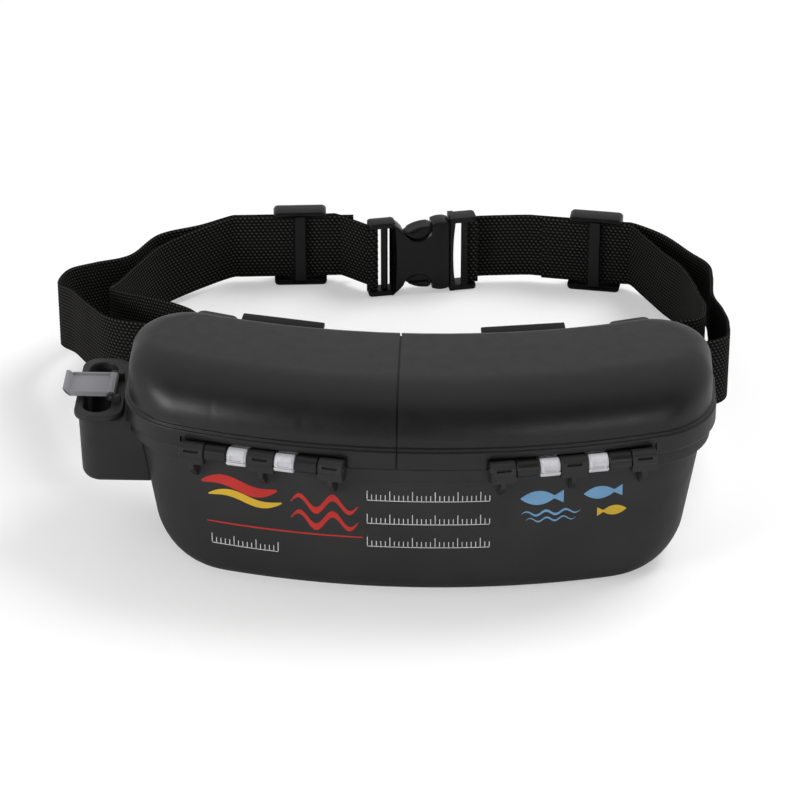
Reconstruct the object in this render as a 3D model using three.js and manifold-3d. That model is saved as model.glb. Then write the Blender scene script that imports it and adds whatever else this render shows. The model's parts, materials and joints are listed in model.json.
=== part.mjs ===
// Belt-worn tackle box: a kidney-shaped tub with two front-hinged lids, each with an inner
// cover over its small-parts tray, a pliers holder at the left end, and a webbing belt.
// Millimetres. +Z is up, the front of the box faces -Y, and the belt lies behind it, at +Y.
// The origin is the middle of the flat base.

import * as THREE from 'three';
import { mergeVertices } from 'three/addons/utils/BufferGeometryUtils.js';
import Module from 'manifold-3d';

const wasm = await Module();
wasm.setup();

// Whole box, measured on the outside of the lids' skirt
const box_width = 265;
const box_depth = 73;
const box_height = 99;
const front_y = -46;
const front_arc_r = 335;
const rear_arc_r = 310;
const front_corner_r = 36;
const rear_corner_r = 22;
const least_corner_r = 8;
const front_corner_front_share = 0.7;
const front_corner_side_share = 0.25;
const rear_corner_side_share = 0.35;
const front_steps = 16;
const corner_steps = 5;
const rear_steps = 12;

// Gaps
const running_gap = 0.3;
const side_gap = 0.4;
const cut_over = 6;

// Lids
const split_x = -9;
const split_gap = 0.8;
const lid_base_z = 67;
const lid_wall = 2.2;
const skirt_wall = 2.4;
const skirt_height = 9;
const ridge_in = 1.0;
const ridge_height = 1.4;
const crown_front = 27;
const crown_side = 12;
const crown_rear = 6;
const crown_steps = 7;
const tray_seat_z = 71;
const tray_rib_t = 1.4;
const tray_rib_places_share = [-0.685, -0.382, 0.286, 0.64];

// Tub
const rim_band_height = 6.2;
const band_in_front = 1.2;
const band_in_side = 3.0;
const tub_wall = 2.4;
const tub_floor = 2.6;
const wall_in_front_top = 2.6;
const wall_in_front_foot = 3.2;
const wall_in_side_top = 6.2;
const wall_in_side_foot = 16.5;
const wall_in_rear_top = 3.0;
const wall_in_rear_foot = 5;
const foot_r_front = 10;
const foot_r_side = 20;
const foot_r_rear = 10;
const foot_steps = 5;
const centre_wall_t = 2.0;
const guide_rib_t = 1.6;
const guide_rib_depth = 2.5;

// Lid hinges, one straight barrel line for each lid
const hinge_x = 68;
const hinge_out = 1.0;
const hinge_z = 68.5;
const knuckle_r = 4;
const hinge_pin_r = 1.4;
const hinge_bore_r = 1.7;
const centre_knuckle_half = 6;
const cover_knuckle_w = 8.8;
const lid_knuckle_w = 10;
const end_knuckle_w = 11;
const notch_clear = 0.6;
const pocket_wall = 1.8;
const shelf_foot_z = 61.5;
const shelf_front = 3.4;
const shelf_lip = 3.4;
const shelf_in = 7;
const rib_w = 2.4;
const rib_top_z = 64;
const rib_foot_z = 56.5;
const knuckle_slot_w = 6.8;
const knuckle_slot_height = 1.2;
const knuckle_slot_depth = 1.2;
const knuckle_slot_up = 0.8;

// Inner covers of the lid trays
const cover_z = 68.6;
const cover_t = 1.6;
const cover_gap = 0.5;
const cover_arm_z = 67.4;
const cover_arm_in = 10;
const cover_tab_w = 14;
const cover_tab_depth = 4;
const cover_tab_drop = 2.4;
const cover_tab_in = 9;

// Hook racks standing in the tub
const rack_t = 2.0;
const rack_height = 58;
const rack_gap = 0.4;
const rack_left_x = -68;
const rack_right_x = 58;
const rack_slot_w = 2.4;
const rack_slot_depth = 12;
const rack_slot_pitch = 8;
const rack_edge = 12;

// Rear latches, hung on the lids
const latch_from_split = 56.3;
const latch_w = 38.4;
const latch_t = 2.4;
const latch_pivot_out = 4.8;
const latch_pivot_z = 80;
const latch_face_out = 1.2;
const latch_drop = 23.5;
const latch_nose_out = 0.4;
const latch_nose_height = 3;
const latch_rise = 12.6;
const latch_lip_out = 11;
const latch_lip_t = 2.2;
const latch_rib_t = 1.6;
const latch_barrel_r = 2.9;
const latch_pin_r = 1.2;
const latch_bore_r = 1.5;
const latch_ear_t = 3;
const latch_ear_in = 9;
const latch_bend_low_share = 0.72;
const latch_bend_high_share = 0.9;

// Pliers holder at the left end
const holder_flange_z = 65;
const holder_flange_t = 3;
const holder_outer_x = -155.5;
const holder_lid_gap = 0.7;
const holder_front_y = -5;
const holder_length = 54;
const holder_width = 42;
const holder_flange_over = 3;
const holder_floor_z = 35;
const holder_corner_r = 6;
const socket_w = 12.5;
const socket_length = 45;
const socket_outer_wall = 3.8;

// Pliers lock, a flap over the socket
const lock_y = 19;
const lock_w = 17.6;
const lock_t = 1.8;
const lock_pivot_x = -139.6;
const lock_pivot_z = 70.6;
const lock_reach = 18.4;
const lock_rim_t = 1.5;
const lock_rim_height = 1.2;
const lock_lip_rise = 3.2;
const lock_lip_out = 1.8;
const lock_barrel_r = 2.1;
const lock_pin_r = 0.8;
const lock_bore_r = 1.1;
const lock_ear_t = 2.2;
const lock_ear_in = 0.6;
const lock_ear_w = 4;
const lock_ear_up = 0.8;

// Belt posts behind the tub
const post_x = 100;
const post_out = 14;
const post_w = 14;
const post_t = 5;
const post_base_z = 37;
const post_arm_height = 8;
const post_cap_t = 3;
const post_cap_over = 3;
const post_cap_gap = 1.0;

// Belt webbing
const web_w = 35;
const web_t = 1.5;
const web_rear_z = 3.5;
const web_post_z = 46.5;
const layer_gap = 0.4;
const wrap_steps = 5;
const web_step = 7;
const belt_reach = 300;
const straight_places_share = [0, 0.05, 0.5, 0.95, 1];

// Strap routes between the adjusters and the posts: x, y and lift, as shares of the belt's
// reach and of the webbing's climb from the floor to the posts
const left_outer_shares = [
  [-0.393, 0.805, 0], [-0.46, 0.768, 0], [-0.503, 0.676, 0.05], [-0.553, 0.619, 0.16],
  [-0.589, 0.562, 0.28], [-0.597, 0.485, 0.4], [-0.564, 0.405, 0.6], [-0.528, 0.322, 0.74],
  [-0.475, 0.232, 0.9],
];
const left_inner_shares = [
  [-0.36, 0.253, 0.95], [-0.4, 0.292, 0.9], [-0.45, 0.35, 0.76], [-0.49, 0.406, 0.6],
  [-0.512, 0.475, 0.38], [-0.508, 0.555, 0.16], [-0.486, 0.65, 0.04], [-0.455, 0.728, 0],
  [-0.405, 0.782, 0],
];
const right_outer_shares = [
  [0.39, 0.79, 0.02], [0.436, 0.7, 0.1], [0.46, 0.63, 0.22], [0.462, 0.55, 0.36],
  [0.458, 0.45, 0.5], [0.468, 0.36, 0.66], [0.472, 0.27, 0.82], [0.462, 0.2, 0.92],
  [0.41, 0.167, 0.97],
];
const right_inner_shares = [
  [0.37, 0.234, 0.96], [0.424, 0.27, 0.88], [0.44, 0.36, 0.7], [0.436, 0.45, 0.5],
  [0.43, 0.55, 0.3], [0.416, 0.64, 0.16], [0.392, 0.71, 0.06], [0.36, 0.79, 0],
];

// Slide adjusters
const adjuster_length = 27;
const adjuster_depth = 10;
const adjuster_rail = 3.0;
const adjuster_bar_w = 6;
const adjuster_side_w = 3.6;
const adjuster_corner_r = 2.2;
const web_slot_clear = 0.4;
const adjuster_left_place_share = [-0.226667, 0.846667];
const adjuster_left_deg = 4;
const adjuster_right_place_share = [0.28, 0.84];
const adjuster_right_deg = -8;
const adjuster_run = 16;
const adjuster_straight = 4.5;
const adjuster_tail = 14;

// Side-release buckle, in its own frame: x along the belt, y through it
const buckle_place_share = [-0.008333, 0.823333];
const buckle_deg = 12.5;
const buckle_depth = 10;
const buckle_rail = 2.9;
const buckle_rail_depth = 8.4;
const buckle_bar_r = 1.8;
const socket_end_x = -30.8;
const socket_mid_bar_x = -22.3;
const socket_mid_bar_w = 3.4;
const socket_shoulder_x = -18.9;
const socket_body_x = -16.6;
const socket_neck_x = -12.2;
const socket_neck_half = 14;
const socket_neck_bend = 2.1;
const socket_neck_bend_half = 17.4;
const socket_mouth_x = 11;
const socket_mouth_half = 19.2;
const socket_mouth_r = 1.6;
const socket_band_x = 1.2;
const socket_band_half = 18.4;
const socket_skin = 1.4;
const socket_cavity_half = 16.3;
const window_x = -5.6;
const window_up = 17.3;
const window_r = 7.7;
const prong_t = 4;
const prong_depth = 6.6;
const prong_z = 14;
const prong_length = 23.1;
const prong_head_length = 12.4;
const prong_head_top = 17.4;
const prong_head_foot = 9;
const prong_tip_up = 13.4;
const prong_bend = 5.4;
const plug_base_t = 1.4;
const plug_slot_w = 8.8;
const plug_grip_x = 17;
const plug_grip_w = 3.6;
const plug_grip_t = 1.2;
const plug_guide_length = 17;
const plug_guide_w = 8;

// Materials
const black_plastic = new THREE.MeshStandardMaterial({ color: 0x1b1b1d, roughness: 0.45 });
const black_webbing = new THREE.MeshStandardMaterial({ color: 0x141415, roughness: 0.9 });
const buckle_plastic = new THREE.MeshStandardMaterial({ color: 0x161618, roughness: 0.4 });
const grey_plastic = new THREE.MeshStandardMaterial({ color: 0x7d7d82, roughness: 0.5 });
const clear_plastic = new THREE.MeshStandardMaterial({
  color: 0xd8d8da, roughness: 0.35, transparent: true, opacity: 0.7,
});
const pin_steel = new THREE.MeshStandardMaterial({ color: 0x8c8c90, roughness: 0.3, metalness: 1 });

// Solids and geometry

// A closed geometry as a solid that can be cut and joined
function toSolid(geometry) {
  const bare = geometry.index ? geometry.clone() : geometry;
  bare.deleteAttribute('normal');
  bare.deleteAttribute('uv');
  const merged = mergeVertices(bare);
  return new wasm.Manifold(new wasm.Mesh({
    numProp: 3,
    vertProperties: new Float32Array(merged.attributes.position.array),
    triVerts: new Uint32Array(merged.index.array),
  }));
}

// A solid back as a geometry
function toGeometry(solid) {
  const mesh = solid.getMesh();
  const geometry = new THREE.BufferGeometry();
  geometry.setAttribute('position', new THREE.BufferAttribute(mesh.vertProperties, 3));
  geometry.setIndex(new THREE.BufferAttribute(mesh.triVerts, 1));
  geometry.computeVertexNormals();
  return geometry;
}

// A box between two corners
function block(x0, x1, y0, y1, z0, z1) {
  const geometry = new THREE.BoxGeometry(x1 - x0, y1 - y0, z1 - z0);
  geometry.translate((x0 + x1) / 2, (y0 + y1) / 2, (z0 + z1) / 2);
  return toSolid(geometry);
}

// A round bar along X between two places, its axis at the given y and z
function barAlongX(radius, x0, x1, y, z, sides = 20) {
  const geometry = new THREE.CylinderGeometry(radius, radius, x1 - x0, sides);
  geometry.rotateZ(Math.PI / 2);
  geometry.translate((x0 + x1) / 2, y, z);
  return toSolid(geometry);
}

// A round bar along Y
function barAlongY(radius, y0, y1, x, z, sides = 20) {
  const geometry = new THREE.CylinderGeometry(radius, radius, y1 - y0, sides);
  geometry.translate(x, (y0 + y1) / 2, z);
  return toSolid(geometry);
}

// A round bar along Z
function barAlongZ(radius, z0, z1, x, y, sides = 32) {
  const geometry = new THREE.CylinderGeometry(radius, radius, z1 - z0, sides);
  geometry.rotateX(Math.PI / 2);
  geometry.translate(x, y, (z0 + z1) / 2);
  return toSolid(geometry);
}

// A profile drawn in the YZ plane, pushed along X from x0 to x1
function profileAlongX(shape, x0, x1, curve_segments = 8) {
  const options = { depth: x1 - x0, bevelEnabled: false, curveSegments: curve_segments };
  const geometry = new THREE.ExtrudeGeometry(shape, options);
  const turn = new THREE.Matrix4().set(0, 0, 1, x0, 1, 0, 0, 0, 0, 1, 0, 0, 0, 0, 0, 1);
  geometry.applyMatrix4(turn);
  return toSolid(geometry);
}

// A shape drawn in the XY plane, raised from z0 to z1
function raised(shape, z0, z1, curve_segments = 6) {
  const options = { depth: z1 - z0, bevelEnabled: false, curveSegments: curve_segments };
  const geometry = new THREE.ExtrudeGeometry(shape, options);
  geometry.translate(0, 0, z0);
  return toSolid(geometry);
}

// A rectangle with round corners, as a shape
function roundedRectangle(x0, x1, y0, y1, radius) {
  const shape = new THREE.Shape();
  shape.moveTo(x0 + radius, y0);
  shape.lineTo(x1 - radius, y0);
  shape.absarc(x1 - radius, y0 + radius, radius, -Math.PI / 2, 0, false);
  shape.lineTo(x1, y1 - radius);
  shape.absarc(x1 - radius, y1 - radius, radius, 0, Math.PI / 2, false);
  shape.lineTo(x0 + radius, y1);
  shape.absarc(x0 + radius, y1 - radius, radius, Math.PI / 2, Math.PI, false);
  shape.lineTo(x0, y0 + radius);
  shape.absarc(x0 + radius, y0 + radius, radius, Math.PI, Math.PI * 1.5, false);
  return shape;
}

function joined(solids) {
  return solids.reduce((sum, next) => sum.add(next));
}

// A frame on the box's front or rear: turned about Z, then moved
function place(solid, frame) {
  return solid.rotate([0, 0, frame.deg]).translate([frame.x, frame.y, 0]);
}

// The box's kidney-shaped form

const centre_y = front_y + front_arc_r;
const rear_centre_y = front_y + box_depth + rear_arc_r;

function arcPoints(cx, cy, radius, from, to, steps) {
  const points = [];
  for (let i = 0; i < steps; i += 1) {
    const angle = from + ((to - from) * i) / steps;
    points.push([cx + radius * Math.cos(angle), cy + radius * Math.sin(angle)]);
  }
  return points;
}

// One level's outline, drawn in from the skirt by its own amount at front, sides and rear:
// a front arc, a rear arc bowed the same way, and round corners between them
function outline(level) {
  const half = box_width / 2 - level.side;
  const front_r = front_arc_r - level.front;
  const rear_r = rear_arc_r + level.rear;
  const drawn_f = level.front * front_corner_front_share + level.side * front_corner_side_share;
  const corner_f = Math.max(front_corner_r - drawn_f, least_corner_r);
  const corner_r = Math.max(rear_corner_r - level.side * rear_corner_side_share, least_corner_r);
  const fx = half - corner_f;
  const fy = centre_y - Math.sqrt((front_r - corner_f) ** 2 - fx ** 2);
  const rx = half - corner_r;
  const ry = rear_centre_y - Math.sqrt((rear_r + corner_r) ** 2 - rx ** 2);
  const front_turn = Math.atan2(fy - centre_y, fx);
  const rear_turn = Math.atan2(rear_centre_y - ry, -rx);
  const rear_from = Math.atan2(ry - rear_centre_y, rx);
  const points = [
    ...arcPoints(0, centre_y, front_r, -Math.PI - front_turn, front_turn, front_steps),
    ...arcPoints(fx, fy, corner_f, front_turn, 0, corner_steps),
    ...arcPoints(rx, ry, corner_r, 0, rear_turn, corner_steps),
    ...arcPoints(0, rear_centre_y, rear_r, rear_from, -Math.PI - rear_from, rear_steps),
    ...arcPoints(-rx, ry, corner_r, Math.PI - rear_turn, Math.PI, corner_steps),
    ...arcPoints(-fx, fy, corner_f, Math.PI, Math.PI - front_turn, corner_steps),
  ];
  return points.map(([x, y]) => new THREE.Vector3(x, y, level.z));
}

// A closed solid through rings of the same number of points, counter-clockwise from above
function ringSolid(rings) {
  const count = rings[0].length;
  const positions = rings.flat().flatMap((p) => [p.x, p.y, p.z]);
  const index = [];
  for (let level = 0; level + 1 < rings.length; level += 1) {
    for (let i = 0; i < count; i += 1) {
      const a = level * count + i;
      const b = level * count + ((i + 1) % count);
      index.push(a, b, b + count, a, b + count, a + count);
    }
  }
  const top = (rings.length - 1) * count;
  const floor_2d = rings[0].map((p) => new THREE.Vector2(p.x, p.y));
  const top_2d = rings[rings.length - 1].map((p) => new THREE.Vector2(p.x, p.y));
  THREE.ShapeUtils.triangulateShape(floor_2d, []).forEach(([a, b, c]) => index.push(a, c, b));
  THREE.ShapeUtils.triangulateShape(top_2d, []).forEach(([a, b, c]) => {
    index.push(top + a, top + b, top + c);
  });
  const geometry = new THREE.BufferGeometry();
  geometry.setAttribute('position', new THREE.Float32BufferAttribute(positions, 3));
  geometry.setIndex(index);
  return toSolid(geometry);
}

function loft(levels) {
  return ringSolid(levels.map(outline));
}

function evenLevel(z, inset) {
  return { z, front: inset, side: inset, rear: inset };
}

// Lids

const shoulder_z = lid_base_z + skirt_height + ridge_height;
const shoulder_in = ridge_in * 2;

// How far a quarter ellipse under the top has drawn in at height z
function crownIn(z, across, drop) {
  const start = box_height - drop;
  if (z <= start) {
    return 0;
  }
  const rise = Math.min((z - start) / drop, 1);
  return across * (1 - Math.sqrt(1 - rise ** 2));
}

// The domed part of the lid, drawn in by a wall for its inside
function crownLevels(wall) {
  const top_z = box_height - wall;
  const levels = [];
  for (let i = 0; i <= crown_steps; i += 1) {
    const z = shoulder_z + (top_z - shoulder_z) * Math.sin((Math.PI / 2) * (i / crown_steps));
    const outer_z = z + wall * ((z - shoulder_z) / (top_z - shoulder_z));
    levels.push({
      z,
      front: shoulder_in + wall + crownIn(outer_z, crown_front - wall, box_height - shoulder_z),
      side: shoulder_in + wall + crownIn(outer_z, crown_side - wall, crown_side),
      rear: shoulder_in + wall + crownIn(outer_z, crown_rear - wall, crown_rear),
    });
  }
  return levels;
}

const lid_outer = loft([
  evenLevel(lid_base_z, 0),
  evenLevel(lid_base_z + skirt_height, 0),
  evenLevel(lid_base_z + skirt_height, ridge_in),
  evenLevel(shoulder_z, ridge_in),
  ...crownLevels(0),
]);
const lid_inner = loft([
  evenLevel(lid_base_z - cut_over, skirt_wall),
  evenLevel(tray_seat_z, skirt_wall),
  evenLevel(tray_seat_z, shoulder_in + lid_wall),
  ...crownLevels(lid_wall),
]);

// The space on one side of the lids' parting line, a given distance away from it
function sideSpace(side, from_split) {
  const far = side * box_width;
  const near = split_x + side * from_split;
  const reach = box_width;
  return block(Math.min(near, far), Math.max(near, far), -reach, reach, -reach, reach);
}

// Frames on the front and rear arcs
function frontFrame(x) {
  const angle = Math.asin(x / front_arc_r);
  return {
    x: front_arc_r * Math.sin(angle) + hinge_out * Math.sin(angle),
    y: centre_y - (front_arc_r + hinge_out) * Math.cos(angle),
    deg: THREE.MathUtils.radToDeg(angle),
  };
}

function rearFrame(x, out = 0) {
  const angle = Math.asin(x / rear_arc_r);
  return {
    x: (rear_arc_r - out) * Math.sin(angle),
    y: rear_centre_y - (rear_arc_r - out) * Math.cos(angle),
    deg: THREE.MathUtils.radToDeg(angle),
  };
}

// Knuckle places along a hinge, counted from its middle
const cover_knuckle_at = centre_knuckle_half + side_gap;
const lid_knuckle_at = cover_knuckle_at + cover_knuckle_w + side_gap;
const end_knuckle_at = lid_knuckle_at + lid_knuckle_w + side_gap;
const hinge_half = end_knuckle_at + end_knuckle_w;

// A knuckle on each side of the hinge's middle
function knucklePair(at, width) {
  return barAlongX(knuckle_r, at, at + width, 0, hinge_z).add(
    barAlongX(knuckle_r, -at - width, -at, 0, hinge_z));
}

function hingeBore() {
  const reach = hinge_half + cut_over;
  return barAlongX(hinge_bore_r, -reach, reach, 0, hinge_z, 16);
}

// The same box on each side of the hinge's middle
function blockPair(x0, x1, y0, y1, z0, z1) {
  return block(x0, x1, y0, y1, z0, z1).add(block(-x1, -x0, y0, y1, z0, z1));
}

const notch_back = knuckle_r + notch_clear;
const notch_top = hinge_z + knuckle_r + notch_clear;
const notch_half = hinge_half + notch_clear * 2;
const knuckle_foot_z = lid_base_z - running_gap;

// A lid: skirt, double ridge, domed top, tray ribs, hinge pocket and latch ears
function lidSolid(side, hinge, latch) {
  const outside = lid_outer.intersect(sideSpace(side, split_gap / 2));
  const inside = lid_inner.intersect(sideSpace(side, split_gap / 2 + lid_wall));
  const ear_at = latch_w / 2 + running_gap;
  const ear_reach = latch_pivot_out + latch_ear_in;
  const ears = barAlongX(latch_barrel_r, ear_at, ear_at + latch_ear_t, 0, latch_pivot_z)
    .add(barAlongX(latch_barrel_r, -ear_at - latch_ear_t, -ear_at, 0, latch_pivot_z))
    .add(blockPair(ear_at, ear_at + latch_ear_t, -ear_reach, 0,
      latch_pivot_z - latch_barrel_r, latch_pivot_z + latch_barrel_r));
  const ear_bore = barAlongX(latch_bore_r, -ear_at - cut_over, ear_at + cut_over, 0, latch_pivot_z, 16);
  const ribs = tray_rib_places_share.map((share) => {
    const x = (share * box_width) / 2;
    return block(x - tray_rib_t / 2, x + tray_rib_t / 2, -box_width, box_width,
      tray_seat_z, box_height).intersect(inside);
  });
  const pocket = place(block(-notch_half - pocket_wall, notch_half + pocket_wall,
    -cut_over, notch_back + pocket_wall, lid_base_z, notch_top + pocket_wall), hinge);
  const notch = place(block(-notch_half, notch_half, -knuckle_r * 4, notch_back,
    lid_base_z - cut_over, notch_top), hinge);
  const web = blockPair(lid_knuckle_at, lid_knuckle_at + lid_knuckle_w,
    0, notch_back + pocket_wall / 2, lid_base_z, hinge_z + knuckle_r / 2);
  const knuckles = place(knucklePair(lid_knuckle_at, lid_knuckle_w).add(web), hinge);
  const arm_slots = place(blockPair(cover_knuckle_at - side_gap, cover_knuckle_at + cover_knuckle_w
    + side_gap, 0, notch_back + pocket_wall + cut_over, lid_base_z - cut_over, notch_top), hinge);
  const shell = outside.add(place(ears, latch)).subtract(inside).subtract(place(ear_bore, latch));
  return joined([shell, ...ribs])
    .add(pocket.intersect(outside))
    .subtract(notch)
    .add(knuckles)
    .subtract(arm_slots)
    .subtract(place(hingeBore(), hinge));
}

// The translucent inner cover: a plate under the tray, two hinge feet and a snap tab
function coverSolid(side, hinge) {
  const edge = skirt_wall + cover_gap;
  const plate = loft([evenLevel(cover_z, edge), evenLevel(cover_z + cover_t, edge)])
    .intersect(sideSpace(side, split_gap / 2 + lid_wall + cover_gap))
    .subtract(place(block(-notch_half - pocket_wall - cover_gap, notch_half + pocket_wall + cover_gap,
      -box_depth, notch_back + pocket_wall + cover_gap, 0, box_height), hinge));
  const arms = blockPair(cover_knuckle_at, cover_knuckle_at + cover_knuckle_w,
    0, notch_back + pocket_wall + cover_arm_in, cover_arm_z, cover_z + cover_t);
  const feet = place(knucklePair(cover_knuckle_at, cover_knuckle_w).add(arms), hinge);
  const tab_frame = rearFrame(split_x + side * latch_from_split);
  const tab = place(block(-cover_tab_w / 2, cover_tab_w / 2, -cover_tab_in - cover_tab_depth,
    -cover_tab_in, cover_z - cover_tab_drop, cover_z + cover_t), tab_frame);
  return plate.add(feet).add(tab).subtract(place(hingeBore(), hinge));
}

// Tub

const rim_z = lid_base_z - running_gap;
const ledge_z = rim_z - rim_band_height;

function footIn(z, radius) {
  return z >= radius ? 0 : radius - Math.sqrt(radius ** 2 - (radius - z) ** 2);
}

// The tub's wall at one height, drawn in further by a wall for its inside
function wallLevel(z, inset, floor) {
  const share = z / ledge_z;
  const lean = (foot, top) => foot + (top - foot) * share;
  const rise = z - floor;
  return {
    z,
    front: lean(wall_in_front_foot, wall_in_front_top) + inset + footIn(rise, foot_r_front - inset),
    side: lean(wall_in_side_foot, wall_in_side_top) + inset + footIn(rise, foot_r_side - inset),
    rear: lean(wall_in_rear_foot, wall_in_rear_top) + inset + footIn(rise, foot_r_rear - inset),
  };
}

function wallLevels(inset, floor) {
  const levels = [];
  for (let i = 0; i <= foot_steps; i += 1) {
    const rise = (foot_r_side - inset) * (1 - Math.cos((Math.PI / 2) * (i / foot_steps)));
    levels.push(wallLevel(floor + rise, inset, floor));
  }
  levels.push(wallLevel(ledge_z, inset, floor));
  return levels;
}

function bandLevel(z, clear) {
  return { z, front: band_in_front - clear, side: band_in_side - clear, rear: band_in_front - clear };
}

const tub_outer = loft([...wallLevels(0, 0), bandLevel(ledge_z, 0), bandLevel(rim_z, 0)]);

// The tub's hollow, smaller by a clearance for what stands in it
function hollow(clear) {
  const levels = wallLevels(tub_wall + clear, tub_floor + clear);
  const above = { ...levels[levels.length - 1], z: rim_z + cut_over };
  return loft([...levels, above]);
}

const tub_hollow = hollow(0);

// Tub knuckles, each on a shelf of the front wall with a tapering rib below it and a slot in
// its face
function tubKnuckles(hinge) {
  const shelf = new THREE.Shape();
  shelf.moveTo(shelf_in, shelf_foot_z);
  shelf.lineTo(shelf_in, knuckle_foot_z);
  shelf.lineTo(-shelf_front, knuckle_foot_z);
  shelf.lineTo(-shelf_front, knuckle_foot_z - shelf_lip);
  shelf.lineTo(hinge_out * 2, shelf_foot_z);
  const rib = new THREE.Shape();
  rib.moveTo(shelf_in, rib_foot_z);
  rib.lineTo(shelf_in, rib_top_z);
  rib.lineTo(-shelf_front, rib_top_z);
  rib.lineTo(-shelf_front, rib_top_z - shelf_lip / 2);
  rib.lineTo(hinge_out * 3, rib_foot_z);
  const end_mid = (end_knuckle_at + hinge_half) / 2;
  const knuckle = (x, half) => joined([
    barAlongX(knuckle_r, x - half, x + half, 0, hinge_z),
    profileAlongX(shelf, x - half, x + half),
    profileAlongX(rib, x - rib_w / 2, x + rib_w / 2),
  ]).subtract(block(x - knuckle_slot_w / 2, x + knuckle_slot_w / 2, -knuckle_r * 2,
    knuckle_slot_depth - knuckle_r, hinge_z + knuckle_slot_up,
    hinge_z + knuckle_slot_up + knuckle_slot_height));
  return place(joined([
    knuckle(0, centre_knuckle_half),
    knuckle(end_mid, end_knuckle_w / 2),
    knuckle(-end_mid, end_knuckle_w / 2),
  ]), hinge);
}

// A pair of ribs on the front and rear walls that a hook rack slides down between
function rackGuides(x) {
  const lane = rack_t / 2 + running_gap;
  const slabs = block(x + lane, x + lane + guide_rib_t, -box_width, box_width, 0, rack_height)
    .add(block(x - lane - guide_rib_t, x - lane, -box_width, box_width, 0, rack_height));
  return slabs.intersect(tub_hollow).subtract(hollow(guide_rib_depth));
}

// The channel along the rim that lets the lid's and cover's knuckles turn
function knuckleChannel(hinge) {
  return place(barAlongX(knuckle_r + side_gap, -end_knuckle_at, end_knuckle_at, 0, hinge_z), hinge);
}

function tubSolid(hinges) {
  const walls = tub_outer
    .subtract(joined(hinges.map(knuckleChannel)))
    .add(joined(hinges.map(tubKnuckles)))
    .subtract(tub_hollow);
  const middle = block(split_x - centre_wall_t / 2, split_x + centre_wall_t / 2, -box_width,
    box_width, 0, ledge_z).intersect(tub_hollow);
  const bores = joined(hinges.map((hinge) => place(hingeBore(), hinge)));
  return walls
    .add(middle)
    .add(rackGuides(rack_left_x))
    .add(rackGuides(rack_right_x))
    .subtract(bores);
}

// A hook rack: a plate across the tub, fitted to its section, with a comb of slots on top
function rackSolid(x) {
  const front = front_y + rack_edge;
  const rear = front_y + box_depth - rack_edge;
  const plate = block(x - rack_t / 2, x + rack_t / 2, -box_width, box_width, 0, rack_height)
    .intersect(hollow(rack_gap));
  const slots = [];
  for (let y = front; y <= rear; y += rack_slot_pitch) {
    slots.push(block(x - rack_t, x + rack_t, y - rack_slot_w / 2, y + rack_slot_w / 2,
      rack_height - rack_slot_depth, rack_height + cut_over));
  }
  return plate.subtract(joined(slots));
}

// Rear latch, drawn from its pivot: a plate down to the rim, a nose, and a finger lip
function latchSolid() {
  const face = latch_face_out - latch_pivot_out;
  const back = face + latch_t;
  const shape = new THREE.Shape();
  shape.moveTo(latch_nose_out - latch_pivot_out, -latch_drop + latch_nose_height);
  shape.lineTo(face, -latch_drop);
  shape.lineTo(back, -latch_drop);
  shape.lineTo(back, 0);
  shape.quadraticCurveTo(back, latch_rise * latch_bend_low_share, latch_lip_out - latch_pivot_out,
    latch_rise - latch_lip_t);
  shape.lineTo(latch_lip_out - latch_pivot_out, latch_rise);
  shape.quadraticCurveTo(face, latch_rise * latch_bend_high_share, face, 0);
  shape.lineTo(face, -latch_drop + latch_nose_height + latch_t);
  const plate = profileAlongX(shape, -latch_w / 2, latch_w / 2, 8);
  const side = new THREE.Shape();
  side.moveTo(back, -latch_barrel_r);
  side.lineTo(latch_barrel_r, -latch_barrel_r);
  side.lineTo(latch_lip_out - latch_pivot_out, latch_rise - latch_lip_t);
  side.quadraticCurveTo(back, latch_rise * latch_bend_low_share, back, 0);
  const ribs = profileAlongX(side, latch_w / 2 - latch_rib_t, latch_w / 2)
    .add(profileAlongX(side, -latch_w / 2, latch_rib_t - latch_w / 2));
  const barrel = barAlongX(latch_barrel_r, -latch_w / 2, latch_w / 2, 0, 0);
  const bore = barAlongX(latch_bore_r, -latch_w, latch_w, 0, 0, 16);
  return plate.add(ribs).add(barrel).subtract(bore);
}

// Pliers holder

const holder_mid_y = holder_front_y + holder_length / 2;
const holder_inner_x = -box_width / 2 - holder_lid_gap;
const socket_x0 = holder_outer_x + socket_outer_wall;

function holderSolid() {
  const y1 = holder_front_y + holder_length;
  const flange = raised(roundedRectangle(holder_outer_x, holder_inner_x, holder_front_y, y1,
    holder_corner_r), holder_flange_z, holder_flange_z + holder_flange_t);
  const over = holder_flange_over;
  const body = raised(roundedRectangle(holder_outer_x + over, holder_outer_x + holder_width,
    holder_front_y + over, y1 - over, holder_corner_r), holder_floor_z, holder_flange_z);
  const clear = running_gap;
  const box_clear = loft([
    wallLevel(0, -clear, -foot_r_side),
    wallLevel(ledge_z - clear, -clear, -foot_r_side),
    bandLevel(ledge_z - clear, clear),
    bandLevel(box_height, clear),
  ]);
  const half = (socket_length - socket_w) / 2;
  const socket = raised(roundedRectangle(socket_x0, socket_x0 + socket_w,
    holder_mid_y - half - socket_w / 2, holder_mid_y + half + socket_w / 2, socket_w / 2.01),
  holder_floor_z - cut_over, box_height);
  const ear_at = lock_w / 2 + running_gap;
  const ear_x = lock_pivot_x + lock_ear_in;
  const ear = (y) => barAlongY(lock_barrel_r, y, y + lock_ear_t, lock_pivot_x, lock_pivot_z)
    .add(block(ear_x, ear_x + lock_ear_w, y, y + lock_ear_t,
      holder_flange_z, lock_pivot_z + lock_ear_up));
  const bore = barAlongY(lock_bore_r, -box_width, box_width, lock_pivot_x, lock_pivot_z, 14);
  return flange.add(body).subtract(box_clear).subtract(socket)
    .add(ear(lock_y + ear_at)).add(ear(lock_y - ear_at - lock_ear_t)).subtract(bore);
}

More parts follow.
